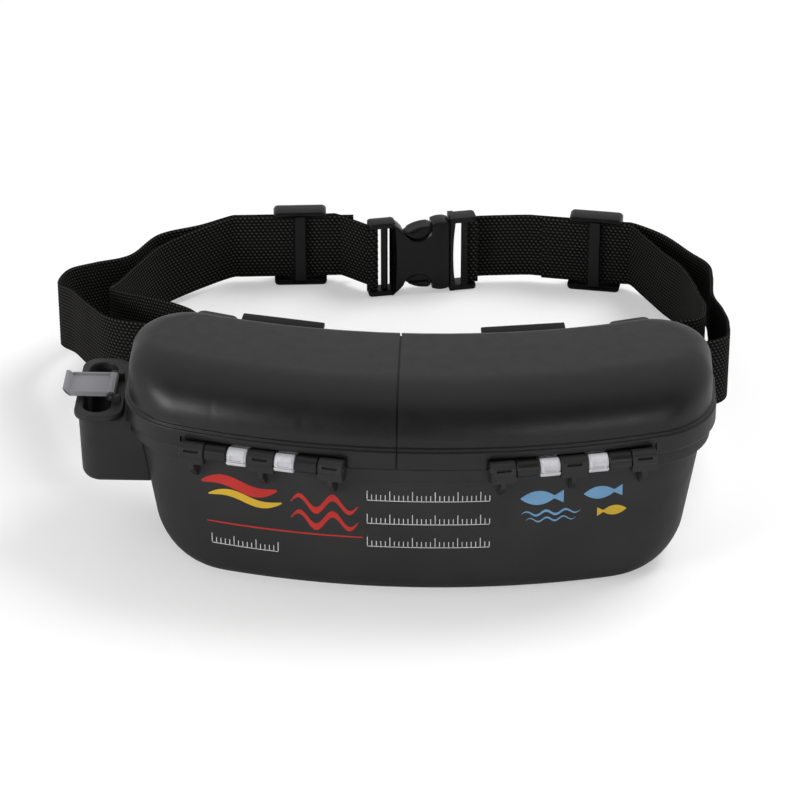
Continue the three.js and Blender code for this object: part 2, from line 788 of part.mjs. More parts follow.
// The lock flap: a plate with raised rims, an end lip bent up, and a barrel on its pin
function lockSolid() {
  const x0 = lock_pivot_x - lock_reach;
  const z0 = lock_pivot_z - lock_t / 2;
  const z1 = z0 + lock_t;
  const y0 = lock_y - lock_w / 2;
  const y1 = lock_y + lock_w / 2;
  const plate = block(x0, lock_pivot_x, y0, y1, z0, z1);
  const rim = (y) => block(x0, lock_pivot_x - lock_barrel_r, y, y + lock_rim_t, z0,
    z1 + lock_rim_height);
  const lip = new THREE.Shape();
  lip.moveTo(x0, z0);
  lip.lineTo(x0, z1);
  lip.lineTo(x0 - lock_lip_out, z1 + lock_lip_rise);
  lip.lineTo(x0 - lock_lip_out - lock_t, z1 + lock_lip_rise);
  lip.lineTo(x0 - lock_lip_out, z0 + lock_t / 2);
  const lip_geometry = new THREE.ExtrudeGeometry(lip, { depth: lock_w, bevelEnabled: false });
  lip_geometry.rotateX(Math.PI / 2);
  lip_geometry.translate(0, y1, 0);
  const barrel = barAlongY(lock_barrel_r, y0, y1, lock_pivot_x, lock_pivot_z);
  const bore = barAlongY(lock_bore_r, -box_width, box_width, lock_pivot_x, lock_pivot_z, 14);
  return joined([plate, rim(y0), rim(y1 - lock_rim_t), toSolid(lip_geometry), barrel]).subtract(bore);
}

// Belt posts

const post_top_z = web_post_z + web_w + post_cap_gap;

// A post behind the tub that a strap turns round: an arm from the wall, a bar and a cap
function postSolid(side) {
  const frame = rearFrame(side * post_x);
  const arm = block(-post_w / 2, post_w / 2, -wall_in_rear_foot * 2, post_out, post_base_z,
    post_base_z + post_arm_height);
  const bar = raised(roundedRectangle(-post_w / 2, post_w / 2, post_out - post_t / 2,
    post_out + post_t / 2, post_t / 2.01), post_base_z, post_top_z + post_cap_t);
  const over = post_cap_over;
  const cap = raised(roundedRectangle(-post_w / 2 - over, post_w / 2 + over,
    post_out - post_t / 2 - over, post_out + post_t / 2 + over, post_t / 2), post_top_z,
  post_top_z + post_cap_t);
  const clear = running_gap;
  const box_clear = loft([
    wallLevel(0, -clear, -foot_r_side),
    wallLevel(ledge_z, -clear, -foot_r_side),
  ]);
  return place(joined([arm, bar, cap]), frame).subtract(box_clear);
}

// Belt

// A piece's frame on the belt: local x along the webbing, local y outwards, z up
function beltFrame(x, y, deg) {
  const angle = THREE.MathUtils.degToRad(deg);
  const along = new THREE.Vector2(Math.cos(angle), Math.sin(angle));
  const out = new THREE.Vector2(-Math.sin(angle), Math.cos(angle));
  const at = (u, v, lift) => new THREE.Vector3(
    x + along.x * u + out.x * v, y + along.y * u + out.y * v, lift);
  return { x, y, deg, at };
}

const atReach = ([x, y], deg) => beltFrame(x * belt_reach, y * belt_reach, deg);
const left_adjuster = atReach(adjuster_left_place_share, adjuster_left_deg);
const right_adjuster = atReach(adjuster_right_place_share, adjuster_right_deg);
const buckle = atReach(buckle_place_share, buckle_deg);
const layer_out = (web_t + layer_gap) / 2;
const wrap_r = (bar_r) => bar_r + running_gap + web_t / 2;

// Half a turn of webbing round a bar, from one face of the bar to the other
function halfTurn(frame, u, v, radius, from_deg, to_deg, lift) {
  const points = [];
  for (let i = 0; i <= wrap_steps; i += 1) {
    const angle = THREE.MathUtils.degToRad(from_deg + ((to_deg - from_deg) * i) / wrap_steps);
    points.push(frame.at(u + radius * Math.cos(angle), v + radius * Math.sin(angle), lift));
  }
  return points;
}

// A straight stretch along a frame, with enough points in it to keep the curve straight
function straightRun(frame, v, from, to, lift) {
  return straight_places_share.map((share) => frame.at(from + (to - from) * share, v, lift));
}

function routePoints(shares) {
  const climb = web_post_z - web_rear_z;
  return shares.map(([x, y, lift]) => new THREE.Vector3(
    x * belt_reach, y * belt_reach, web_rear_z + lift * climb));
}

// Webbing along a route: the route's height is its lower edge, and its faces stand upright
function webbing(points) {
  const curve = new THREE.CatmullRomCurve3(points, false, 'centripetal');
  const spans = points.length - 1;
  const centres = [];
  for (let i = 0; i < spans; i += 1) {
    const parts = Math.max(1, Math.round(points[i].distanceTo(points[i + 1]) / web_step));
    for (let k = 0; k < parts; k += 1) {
      centres.push((i + k / parts) / spans);
    }
  }
  centres.push(1);
  const half = web_t / 2;
  const positions = [];
  centres.forEach((t) => {
    const p = curve.getPoint(t);
    const along = curve.getTangent(t);
    const length = Math.hypot(along.x, along.y);
    const nx = (-along.y / length) * half;
    const ny = (along.x / length) * half;
    const high = p.z + web_w;
    positions.push(p.x - nx, p.y - ny, p.z, p.x + nx, p.y + ny, p.z);
    positions.push(p.x + nx, p.y + ny, high, p.x - nx, p.y - ny, high);
  });
  const index = [];
  for (let i = 0; i + 1 < centres.length; i += 1) {
    for (let k = 0; k < 4; k += 1) {
      const a = i * 4 + k;
      const b = i * 4 + ((k + 1) % 4);
      index.push(a, b, b + 4, a, b + 4, a + 4);
    }
  }
  const end = (centres.length - 1) * 4;
  index.push(0, 2, 1, 0, 3, 2, end, end + 1, end + 2, end, end + 2, end + 3);
  const geometry = new THREE.BufferGeometry();
  geometry.setAttribute('position', new THREE.Float32BufferAttribute(positions, 3));
  geometry.setIndex(index);
  geometry.computeVertexNormals();
  return geometry;
}

// The turn round a belt post, from the face next to the tub to the far face
function postTurn(side) {
  const frame = rearFrame(side * post_x);
  const at = beltFrame(frame.x, frame.y, frame.deg);
  const u = -side * (post_w / 2 - post_t / 2);
  const turn = side < 0 ? [-90, 90] : [-90, -270];
  const away = side * (post_w / 2);
  const radius = wrap_r(post_t / 2);
  return [
    ...straightRun(at, post_out - radius, away, u, web_post_z).slice(0, -1),
    ...halfTurn(at, u, post_out, radius, turn[0], turn[1], web_post_z),
    ...straightRun(at, post_out + radius, u, away, web_post_z).slice(1),
  ];
}

// One side's strap: round the buckle's bar, through the adjuster, round the post and back
// through the adjuster, where its tail ends
function strapRoute(side, adjuster, bar_u, outer, inner) {
  const turn = side < 0 ? [-90, 90] : [-90, -270];
  const radius = wrap_r(buckle_bar_r);
  const straight = adjuster_length / 2 + adjuster_straight;
  const run_in = side > 0 ? adjuster_run : 0;
  const run_out = side < 0 ? adjuster_run : 0;
  const tail_end = adjuster_length / 2 + adjuster_tail;
  const z = web_rear_z;
  const through = (layer, from, to) => straightRun(adjuster, layer, side * from, side * to, z);
  return [
    buckle.at(bar_u + side * radius, -radius, z),
    ...halfTurn(buckle, bar_u, 0, radius, turn[0], turn[1], z),
    ...through(layer_out, -straight - run_in, straight + run_out),
    ...routePoints(outer),
    ...postTurn(side),
    ...routePoints(inner),
    ...through(-layer_out, straight + run_out, -tail_end),
  ];
}

const belt_mid_z = web_rear_z + web_w / 2;
const web_slot_half = web_w / 2 + web_slot_clear;

// A slide adjuster: two rails, side bars behind the webbing and a middle bar before it
function adjusterSolid() {
  const half = adjuster_length / 2;
  const deep = adjuster_depth / 2;
  const clear = layer_out + web_t / 2 + running_gap;
  const high = web_slot_half + adjuster_rail;
  const rail = (z0) => raised(roundedRectangle(-half, half, -deep, deep, adjuster_corner_r), z0,
    z0 + adjuster_rail);
  const bar = (x0, x1, y0, y1) => block(x0, x1, y0, y1, -high + adjuster_rail / 2,
    high - adjuster_rail / 2);
  const side_w = adjuster_side_w;
  return joined([
    rail(-high),
    rail(web_slot_half),
    bar(-adjuster_bar_w / 2, adjuster_bar_w / 2, -deep, -clear),
    bar(-half, side_w - half, clear, deep),
    bar(half - side_w, half, clear, deep),
  ]);
}

const buckle_half = web_slot_half + buckle_rail;

// The buckle's socket: a flat case whose shoulders draw in to a neck, with a round window over
// each prong head, and a frame with two bars for the webbing
function socketSolid() {
  const deep = buckle_depth / 2;
  const rail_deep = buckle_rail_depth / 2;
  const inner = deep - socket_skin;
  const bend_x = socket_neck_x - socket_neck_bend;
  const outline_shape = new THREE.Shape();
  outline_shape.moveTo(socket_shoulder_x, -buckle_half);
  outline_shape.quadraticCurveTo(bend_x, -socket_neck_bend_half, socket_neck_x, -socket_neck_half);
  outline_shape.lineTo(socket_band_x, -socket_band_half);
  outline_shape.lineTo(socket_mouth_x - socket_mouth_r, -socket_mouth_half);
  outline_shape.lineTo(socket_mouth_x, socket_mouth_r - socket_mouth_half);
  outline_shape.lineTo(socket_mouth_x, socket_mouth_half - socket_mouth_r);
  outline_shape.lineTo(socket_mouth_x - socket_mouth_r, socket_mouth_half);
  outline_shape.lineTo(socket_band_x, socket_band_half);
  outline_shape.lineTo(socket_neck_x, socket_neck_half);
  outline_shape.quadraticCurveTo(bend_x, socket_neck_bend_half, socket_shoulder_x, buckle_half);
  const cavity = block(socket_neck_x, socket_mouth_x + cut_over, -socket_cavity_half,
    socket_cavity_half, -inner, inner);
  const slot = block(socket_mid_bar_x, socket_body_x, -web_slot_half, web_slot_half,
    -deep - cut_over, deep + cut_over);
  const window = (up) => barAlongZ(window_r, -deep - cut_over, deep + cut_over, window_x, up);
  const rail = (z0) => block(socket_end_x + buckle_bar_r, socket_shoulder_x + buckle_bar_r, z0,
    z0 + buckle_rail, -rail_deep, rail_deep);
  const bar_x = socket_end_x + buckle_bar_r;
  const bars = barAlongY(buckle_bar_r, -buckle_half, buckle_half, bar_x, 0, 16)
    .add(block(socket_mid_bar_x - socket_mid_bar_w / 2, socket_mid_bar_x + socket_mid_bar_w / 2,
      buckle_rail / 2 - buckle_half, buckle_half - buckle_rail / 2, -buckle_bar_r, buckle_bar_r));
  return raised(outline_shape, -deep, deep).subtract(cavity).subtract(window(window_up))
    .subtract(window(-window_up))
    .subtract(slot)
    .add(rail(web_slot_half))
    .add(rail(-buckle_half))
    .add(bars);
}

const plug_x = socket_mouth_x + running_gap;
const plug_bar_x = plug_x + plug_base_t + plug_slot_w + buckle_bar_r;

// The buckle's plug: a base, a guide tongue, rails, a grip bar before the webbing and the bar
// that the webbing turns round
function plugSolid() {
  const deep = buckle_depth / 2;
  const rail_deep = buckle_rail_depth / 2;
  const base = block(plug_x, plug_x + plug_base_t, -buckle_half, buckle_half, -deep, deep);
  const guide = block(plug_x - plug_guide_length, plug_x + plug_base_t / 2, -plug_guide_w / 2,
    plug_guide_w / 2, -prong_depth / 2, prong_depth / 2);
  const rail = (z0) => block(plug_x, plug_bar_x, z0, z0 + buckle_rail, -rail_deep, deep);
  const grip = block(plug_grip_x, plug_grip_x + plug_grip_w, buckle_rail / 2 - buckle_half,
    buckle_half - buckle_rail / 2, deep - plug_grip_t, deep);
  const bar = barAlongY(buckle_bar_r, -buckle_half, buckle_half, plug_bar_x, 0, 16);
  return joined([base, guide, rail(web_slot_half), rail(-buckle_half), grip, bar]);
}

// A prong of the plug: an arm with a leaf-shaped head that springs into the window
function prongSolid() {
  const x1 = plug_x - running_gap;
  const x0 = x1 - prong_length;
  const head_x = x0 + prong_head_length;
  const arm_foot = prong_z - prong_t / 2;
  const arm_top = prong_z + prong_t / 2;
  const shape = new THREE.Shape();
  shape.moveTo(x1, arm_foot);
  shape.lineTo(x1, arm_top);
  shape.lineTo(head_x, arm_top);
  shape.lineTo(head_x, prong_head_top);
  shape.quadraticCurveTo(x0 + prong_bend, prong_head_top, x0, prong_tip_up);
  shape.quadraticCurveTo(x0 + prong_bend, prong_head_foot, head_x, prong_head_foot);
  shape.lineTo(head_x + prong_t / 2, arm_foot);
  return raised(shape, -prong_depth / 2, prong_depth / 2, 8);
}

// The buckle's pieces are drawn flat, then stood up: their y becomes height
function stoodUp(solid) {
  return solid.rotate([90, 0, 0]);
}

// Assembly

const group = new THREE.Group();

function addGeometry(name, geometry, material, parent = group) {
  const mesh = new THREE.Mesh(geometry, material);
  mesh.name = name;
  parent.add(mesh);
}

function addPiece(name, solid, material, parent = group) {
  addGeometry(name, toGeometry(solid), material, parent);
}

function beltGroup(frame, lift) {
  const holder = new THREE.Group();
  holder.position.set(frame.x, frame.y, lift);
  holder.rotation.z = THREE.MathUtils.degToRad(frame.deg);
  group.add(holder);
  return holder;
}

const hinges = [frontFrame(-hinge_x), frontFrame(hinge_x)];
addPiece('tub', tubSolid(hinges), black_plastic);
[['left', -1], ['right', 1]].forEach(([word, side], i) => {
  const hinge = hinges[i];
  const latch = rearFrame(split_x + side * latch_from_split, latch_pivot_out);
  const pin_end = latch_w / 2 + running_gap + latch_ear_t;
  addPiece(`lid_${word}`, lidSolid(side, hinge, latch), black_plastic);
  addPiece(`inner_cover_${word}`, coverSolid(side, hinge), clear_plastic);
  addPiece(`hinge_pin_${word}`, place(barAlongX(hinge_pin_r, -hinge_half, hinge_half, 0, hinge_z,
    16), hinge), pin_steel);
  addPiece(`latch_${word}`, place(latchSolid().translate([0, 0, latch_pivot_z]), latch),
    black_plastic);
  addPiece(`latch_pin_${word}`, place(barAlongX(latch_pin_r, -pin_end, pin_end, 0, latch_pivot_z,
    14), latch), pin_steel);
  addPiece(`hook_rack_${word}`, rackSolid(side < 0 ? rack_left_x : rack_right_x), black_plastic);
  addPiece(`belt_post_${word}`, postSolid(side), black_plastic);
});

const lock_pin_half = lock_w / 2 + running_gap + lock_ear_t;
addPiece('pliers_holder', holderSolid(), black_plastic);
addPiece('pliers_lock', lockSolid(), grey_plastic);
addPiece('pliers_lock_pin', barAlongY(lock_pin_r, lock_y - lock_pin_half, lock_y + lock_pin_half,
  lock_pivot_x, lock_pivot_z, 12), pin_steel);

const socket_bar_x = socket_end_x + buckle_bar_r;
addGeometry('strap_left', webbing(strapRoute(-1, left_adjuster, socket_bar_x, left_outer_shares,
  left_inner_shares)), black_webbing);
addGeometry('strap_right', webbing(strapRoute(1, right_adjuster, plug_bar_x, right_outer_shares,
  right_inner_shares)), black_webbing);

const left_place = beltGroup(left_adjuster, belt_mid_z);
const right_place = beltGroup(right_adjuster, belt_mid_z);
const buckle_place = beltGroup(buckle, belt_mid_z);
addPiece('adjuster_left', adjusterSolid(), buckle_plastic, left_place);
addPiece('adjuster_right', adjusterSolid(), buckle_plastic, right_place);
addPiece('buckle_socket', stoodUp(socketSolid()), buckle_plastic, buckle_place);
addPiece('buckle_plug', stoodUp(plugSolid()), buckle_plastic, buckle_place);
addPiece('buckle_prong_top', stoodUp(prongSolid()), buckle_plastic, buckle_place);
addPiece('buckle_prong_bottom', stoodUp(prongSolid().mirror([0, 1, 0])), buckle_plastic,
  buckle_place);

export default group;
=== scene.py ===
"""Looks of a belt-worn tackle box: moulded lids and tub, woven belt, buckle and fittings.

Lengths are in millimetres. new_object puts them into metres."""

import itertools
import json
import math

import bmesh
import bpy
import numpy as np
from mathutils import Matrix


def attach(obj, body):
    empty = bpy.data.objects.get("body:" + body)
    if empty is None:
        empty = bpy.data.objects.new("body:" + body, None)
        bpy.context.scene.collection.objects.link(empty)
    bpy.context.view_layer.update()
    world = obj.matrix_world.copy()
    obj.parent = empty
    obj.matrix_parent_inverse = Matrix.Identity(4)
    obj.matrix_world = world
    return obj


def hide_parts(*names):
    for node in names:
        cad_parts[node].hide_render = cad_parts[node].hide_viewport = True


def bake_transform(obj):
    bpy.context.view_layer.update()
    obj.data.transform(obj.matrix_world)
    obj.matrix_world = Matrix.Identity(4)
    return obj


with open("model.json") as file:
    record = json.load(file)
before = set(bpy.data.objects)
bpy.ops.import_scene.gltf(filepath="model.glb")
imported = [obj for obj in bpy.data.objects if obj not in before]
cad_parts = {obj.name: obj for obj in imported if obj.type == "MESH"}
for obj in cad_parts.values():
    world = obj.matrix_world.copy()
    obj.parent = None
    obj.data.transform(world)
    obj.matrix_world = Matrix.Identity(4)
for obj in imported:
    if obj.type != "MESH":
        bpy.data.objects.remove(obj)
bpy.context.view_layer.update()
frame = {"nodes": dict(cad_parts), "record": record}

MM = 0.001

# The box, as in its solids
BOX_WIDTH = 265
BOX_DEPTH = 73
BOX_HEIGHT = 99
FRONT_Y = -46
FRONT_ARC = 335
REAR_ARC = 310
CENTRE_Y = FRONT_Y + FRONT_ARC
REAR_CENTRE_Y = FRONT_Y + BOX_DEPTH + REAR_ARC
FRONT_CORNER = 36
REAR_CORNER = 22
LEAST_CORNER = 8
SPLIT_X = -9
SPLIT_GAP = 0.8
SIDE_GAP = 0.4
RUNNING_GAP = 0.3
OVERRUN = 6
WALL_OVERLAP = 0.05
BARE_CHAMFER = 0.01
ROUND_SHARE = 0.99

# Lids
LID_BASE = 67
LID_WALL = 2.2
LID_FOOT_IN = 1.4
LID_CHAMFER = 0.5
TONGUE_IN = 1.2
TONGUE_CLEAR = 0.15
SKIRT_WALL = 2.4
SKIRT_HEIGHT = 9
RIDGE_IN = 1.0
RIDGE_HEIGHT = 1.4
RIDGE_OVER = 1.2
FORM_EDGE = 0.6
SHOULDER_Z = LID_BASE + SKIRT_HEIGHT + RIDGE_HEIGHT
SHOULDER_IN = RIDGE_IN * 2
CROWN_FROM = 1.4
CROWN_FRONT = 27
CROWN_SIDE = 12
CROWN_REAR = 6
TRAY_SEAT = 71
TRAY_RIB = 1.4
TRAY_RIB_SHARES = (-0.685, -0.382, 0.286, 0.64)
SINK_DEPTH = 0.07
SINK_WIDTH = 1.3
SINK_FADE = 2

# Tub, with its front, side and rear walls' foot and head as drawn in from the lids' skirt
BAND_HEIGHT = 6.2
BAND_IN_FRONT = 1.2
BAND_IN_SIDE = 2.4
BAND_UNDER = 2
BAND_TOP_IN = 1.2
RIM_Z = LID_BASE - RUNNING_GAP
LEDGE_Z = RIM_Z - BAND_HEIGHT
TUB_WALL = 2.4
TUB_FLOOR = 2.6
WALLS_IN = ((3.2, 2.6), (16.5, 6.2), (5, 3.0))
FOOT_RADII = (10, 20, 10)
CENTRE_WALL = 2.0

# Lid hinges
HINGE_X = 68
HINGE_OUT = 1.0
HINGE_Z = 68.5
KNUCKLE_R = 4
PIN_BORE = 1.7
CENTRE_KNUCKLE_HALF = 6
COVER_KNUCKLE = 8.8
LID_KNUCKLE = 10
END_KNUCKLE = 11
COVER_KNUCKLE_AT = CENTRE_KNUCKLE_HALF + SIDE_GAP
LID_KNUCKLE_AT = COVER_KNUCKLE_AT + COVER_KNUCKLE + SIDE_GAP
END_KNUCKLE_AT = LID_KNUCKLE_AT + LID_KNUCKLE + SIDE_GAP
HINGE_HALF = END_KNUCKLE_AT + END_KNUCKLE
NOTCH_CLEAR = 0.6
NOTCH_BACK = KNUCKLE_R + NOTCH_CLEAR
NOTCH_TOP = HINGE_Z + KNUCKLE_R + NOTCH_CLEAR
NOTCH_HALF = HINGE_HALF + NOTCH_CLEAR * 2
POCKET_WALL = 1.8
SHELF_FOOT = 61.5
SHELF_FRONT = 3.4
SHELF_LIP = 3.4
SHELF_IN = 7
RIB_W = 2.4
RIB_TOP = 64
RIB_FOOT = 54
KNUCKLE_SLOT_W = 6.8
KNUCKLE_SLOT_HEIGHT = 1.2
KNUCKLE_SLOT_DEPTH = 1.2
KNUCKLE_SLOT_UP = 0.8
KNUCKLE_SLOT_CORNER = 0.4

# Hook racks' guides in the tub
RACK_X = (-68, 58)
RACK_LANE = 1.3
GUIDE_T = 1.6
GUIDE_DEPTH = 2.5
RACK_HEIGHT = 58

# Fineness of the grids
FRONT_STEPS = 200
CORNER_STEPS = 20
REAR_STEPS = 120
CROWN_STEPS = 24
FOOT_STEPS = 12
BORE_SIDES = 24
WINDOW_SIDES = 64
SMOOTH_ANGLE = math.radians(32)
SAME_POINT = 0.0001


# Meshes

def new_object(name, vertices, faces):
    """A mesh object at the origin, with its place in its vertices."""
    mesh = bpy.data.meshes.new(name)
    mesh.from_pydata((np.asarray(vertices, float).reshape(-1, 3) * MM).tolist(), [], faces)
    mesh.validate()
    obj = bpy.data.objects.new(name, mesh)
    bpy.context.scene.collection.objects.link(obj)
    return obj


def ring_solid(rings):
    """A closed solid through rings of points, counter-clockwise from above: vertex (level, i) is
    ring level's i-th point, quads join each ring to the next, and one face closes each end."""
    rings = np.asarray(rings, float)
    levels, count = rings.shape[:2]
    level, i = np.meshgrid(np.arange(levels - 1), np.arange(count), indexing="ij")
    a = level * count + i
    b = level * count + (i + 1) % count
    quads = np.stack([a, b, b + count, a + count], -1).reshape(-1, 4).tolist()
    top = (levels - 1) * count
    ends = [list(range(count))[::-1], list(range(top, top + count))]
    return new_object("solid", rings, quads + ends)


def block(x0, x1, y0, y1, z0, z1):
    """A box between two corners, as two square rings."""
    square = np.array([(x0, y0), (x1, y0), (x1, y1), (x0, y1)])
    return ring_solid([np.column_stack([square, np.full(4, z)]) for z in (z0, z1)])


def slab(x0, x1, low=-BOX_WIDTH, high=BOX_WIDTH):
    """A block between two places along x, deeper than the box."""
    return block(x0, x1, -BOX_WIDTH, BOX_WIDTH, low, high)


def mirrored(side, near, far):
    """The two ends of a stretch beside the middle, on a side given by a sign, lower end first."""
    return sorted((side * near, side * far))


def ring_at(axis, profile, along):
    """A flat outline's (u, v) points as x, y, z at a place along an axis. The two other axes come
    after it in the order x, y, z, so about y, u is z and v is x."""
    flat = np.column_stack([profile, np.full(len(profile), along)])
    return flat if axis == "z" else np.roll(flat, 1 if axis == "x" else 2, axis=1)


def counter_clockwise(profile):
    """A closed outline in the order that gives it a positive area, by the shoelace sum."""
    profile = np.asarray(profile, float)
    after = np.roll(profile, -1, axis=0)
    area = np.sum(profile[:, 0] * after[:, 1] - after[:, 0] * profile[:, 1])
    return profile[::-1] if area < 0 else profile


def drawn_in(profile, amount):
    """A closed outline drawn in by an amount: each point moves against its two edges' normals,
    further at a corner, so that both edges move in alike."""
    on = np.roll(profile, -1, axis=0) - profile
    normal = np.column_stack([on[:, 1], -on[:, 0]]) / np.linalg.norm(on, axis=1)[:, None]
    before = np.roll(normal, 1, axis=0)
    return profile - amount * (normal + before) / (1 + np.sum(normal * before, axis=1))[:, None]


def parabola(start, bend, end, share):
    """The points of a parabola from start to end, pulled towards bend."""
    return (1 - share) ** 2 * start + 2 * share * (1 - share) * bend + share ** 2 * end


def curve(start, bend, end, steps=12):
    """A row of points on the parabola between two places."""
    ends = (np.asarray(point, float) for point in (start, bend, end))
    return parabola(*ends, np.linspace(0, 1, steps + 1)[:, None])


def rounded(profile, radius, steps=6, closed=True):
    """An outline with round corners: a parabola from a radius before each corner to a radius after
    it, less where an edge is too short for both its corners. The radius is one length, or one for
    each corner, and 0 keeps a corner. An open outline keeps its ends."""
    profile = np.asarray(profile, float)
    radius = np.broadcast_to(np.asarray(radius, float), len(profile))
    on = np.roll(profile, -1, axis=0) - profile
    both = np.maximum(radius + np.roll(radius, -1), SAME_POINT)
    taken = 1 / np.maximum(both, np.linalg.norm(on, axis=1))
    start = profile - np.roll(on, 1, axis=0) * (radius * np.roll(taken, 1))[:, None]
    end = profile + on * (radius * taken)[:, None]
    share = np.linspace(0, 1, steps + 1)[None, :, None]
    points = parabola(start[:, None], profile[:, None], end[:, None], share)
    if closed:
        points = points.reshape(-1, 2)
    else:
        points = np.vstack([profile[:1], points[1:-1].reshape(-1, 2), profile[-1:]])
    apart = np.linalg.norm(points - np.roll(points, 1, axis=0), axis=1)
    return points[apart > SAME_POINT]


def tapered(profile, rows, axis="z"):
    """A solid along an axis: at each row of (inset, place), the outline is drawn in by the inset."""
    return ring_solid([ring_at(axis, drawn_in(profile, inset), place) for inset, place in rows])


def prism(profile, low, high, axis="z", soft=0.0, steps=3):
    """A closed outline pushed from low to high along an axis. With soft, its end edges are round:
    at soft times (1 - cos t) from an end, the outline is drawn in by soft times (1 - sin t)."""
    turn = np.linspace(0, math.pi / 2, steps + 1) if soft else np.array([math.pi / 2])
    near = soft * (1 - np.cos(turn))
    inset = soft * (1 - np.sin(turn))
    rows = [*zip(inset, low + near), *zip(inset[::-1], high - near[::-1])]
    return tapered(counter_clockwise(profile), rows, axis)


def rounded_box(x0, x1, y0, y1, radius, steps=8):
    """Points of a rectangle whose corners are quarter circles."""
    quarter = np.arange(steps + 1) / steps * math.pi / 2
    corners = ((x1 - radius, y0 + radius, -1), (x1 - radius, y1 - radius, 0),
               (x0 + radius, y1 - radius, 1), (x0 + radius, y0 + radius, 2))
    points = [np.column_stack([cx + radius * np.cos(quarter + k * math.pi / 2),
                               cy + radius * np.sin(quarter + k * math.pi / 2)])
              for cx, cy, k in corners]
    return np.concatenate(points)


def plate(x0, x1, y0, y1, corner, low, high, axis="z", soft=0.0):
    """A rectangle with round corners, pushed from low to high along an axis."""
    return prism(rounded_box(x0, x1, y0, y1, corner), low, high, axis, soft)


def turned(rows, u, v, axis="x", sides=40):
    """A round body about an axis through (u, v): row k gives a place along it and a radius."""
    turn = np.arange(sides) / sides * 2 * math.pi
    circle = np.column_stack([np.cos(turn), np.sin(turn)])
    return ring_solid([ring_at(axis, (u, v) + radius * circle, along) for along, radius in rows])


def bar(radius, low, high, u, v, axis="x", sides=40, chamfer=0.35):
    """A round bar along an axis, drawn in by a chamfer at both ends."""
    return turned([(low, radius - chamfer), (low + chamfer, radius), (high - chamfer, radius),
                   (high, radius - chamfer)], u, v, axis, sides)


def combine(base, tools, operation):
    """The base cut by, joined to or met with each tool in turn. The tools are used up."""
    for tool in tools:
        step = base.modifiers.new("cut", "BOOLEAN")
        step.operation = operation
        step.solver = "MANIFOLD"
        step.object = tool
        graph = bpy.context.evaluated_depsgraph_get()
        mesh = bpy.data.meshes.new_from_object(base.evaluated_get(graph))
        base.modifiers.clear()
        old = base.data
        base.data = mesh
        bpy.data.meshes.remove(old)
        bpy.data.objects.remove(tool)
    return base


def cut(base, *tools):
    return combine(base, tools, "DIFFERENCE")


def join(base, *tools):
    return combine(base, tools, "UNION")


def meet(base, *tools):
    return combine(base, tools, "INTERSECT")


def reshaped(obj, change):
    """The object with all its points put through a function of their array."""
    points = np.zeros(len(obj.data.vertices) * 3)
    obj.data.vertices.foreach_get("co", points)
    moved = change(points.reshape(-1, 3) / MM) * MM
    obj.data.vertices.foreach_set("co", moved.ravel())
    obj.data.update()
    return obj


def placed(obj, spot, lift=0.0):
    """The object's points turned about Z, moved to a spot (x, y, angle) and lifted."""
    x, y, angle = spot
    c, s = math.cos(angle), math.sin(angle)
    return reshaped(obj, lambda p: np.column_stack([
        x + p[:, 0] * c - p[:, 1] * s, y + p[:, 0] * s + p[:, 1] * c, p[:, 2] + lift]))


def all_at(spot, *objects):
    return [placed(obj, spot) for obj in objects]


def stood_up(obj):
    """What was drawn flat, stood up: its y becomes height, and its z faces the front."""
    return reshaped(obj, lambda p: np.column_stack([p[:, 0], -p[:, 2], p[:, 1]]))


def gathered(objects):
    """Separate closed bodies gathered into the mesh of the first."""
    whole = bmesh.new()
    for obj in objects:
        whole.from_mesh(obj.data)
    for obj in objects[1:]:
        bpy.data.objects.remove(obj)
    whole.to_mesh(objects[0].data)
    whole.free()
    return objects[0]


def finished(obj, name, material, node=None, body=None):
    """Names a piece, shades it smooth up to the sharp edges, and puts it on its body, which is
    named as its node unless it rides on another."""
    obj.name = name
    obj.data.name = name
    obj.data.validate()
    obj.data.shade_smooth()
    obj.data.set_sharp_from_angle(angle=SMOOTH_ANGLE)
    obj.data.materials.clear()
    obj.data.materials.append(material)
    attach(obj, body or node)
    if node:
        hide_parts(node)
    return obj


# Materials

CLOUD_SHARE = 0.86


def feed(tree, node, inputs):
    """Gives each input of a node a link or a plain value."""
    for key, value in inputs.items():
        if isinstance(value, bpy.types.NodeSocket):
            tree.links.new(value, node.inputs[key])
        else:
            node.inputs[key].default_value = value


def added(tree, kind, output, inputs, **settings):
    """The output of a new node with its settings and inputs."""
    node = tree.nodes.new("ShaderNode" + kind)
    for setting, value in settings.items():
        setattr(node, setting, value)
    feed(tree, node, inputs)
    return node.outputs[output]


def node_material(name, colour, roughness, specular=0.5):
    """A material with its tree and its main shader."""
    material = bpy.data.materials.new(name)
    material.use_nodes = True
    tree = material.node_tree
    shader = tree.nodes["Principled BSDF"]
    feed(tree, shader, {"Base Color": (*colour, 1), "Roughness": roughness,
                        "Specular IOR Level": specular})
    return material, tree, shader


def noise(tree, scale, detail=4.0):
    """Noise on the object's own coordinates."""
    place = added(tree, "TexCoord", "Object", {})
    return added(tree, "TexNoise", "Fac", {"Vector": place, "Scale": scale, "Detail": detail})


def spread(tree, value, low, high):
    """A noise value stretched from its usual 0.3 to 0.7 onto low to high."""
    return added(tree, "MapRange", "Result", {"Value": value, "From Min": 0.3, "From Max": 0.7,
                                              "To Min": low, "To Max": high})


def bumped(tree, shader, height, distance, strength, under=None):
    """Relief on the shader, over an earlier relief where one is given."""
    inputs = {"Distance": distance * MM, "Strength": strength, "Height": height}
    if under:
        inputs["Normal"] = under
    normal = added(tree, "Bump", "Normal", inputs)
    feed(tree, shader, {"Normal": normal})
    return normal


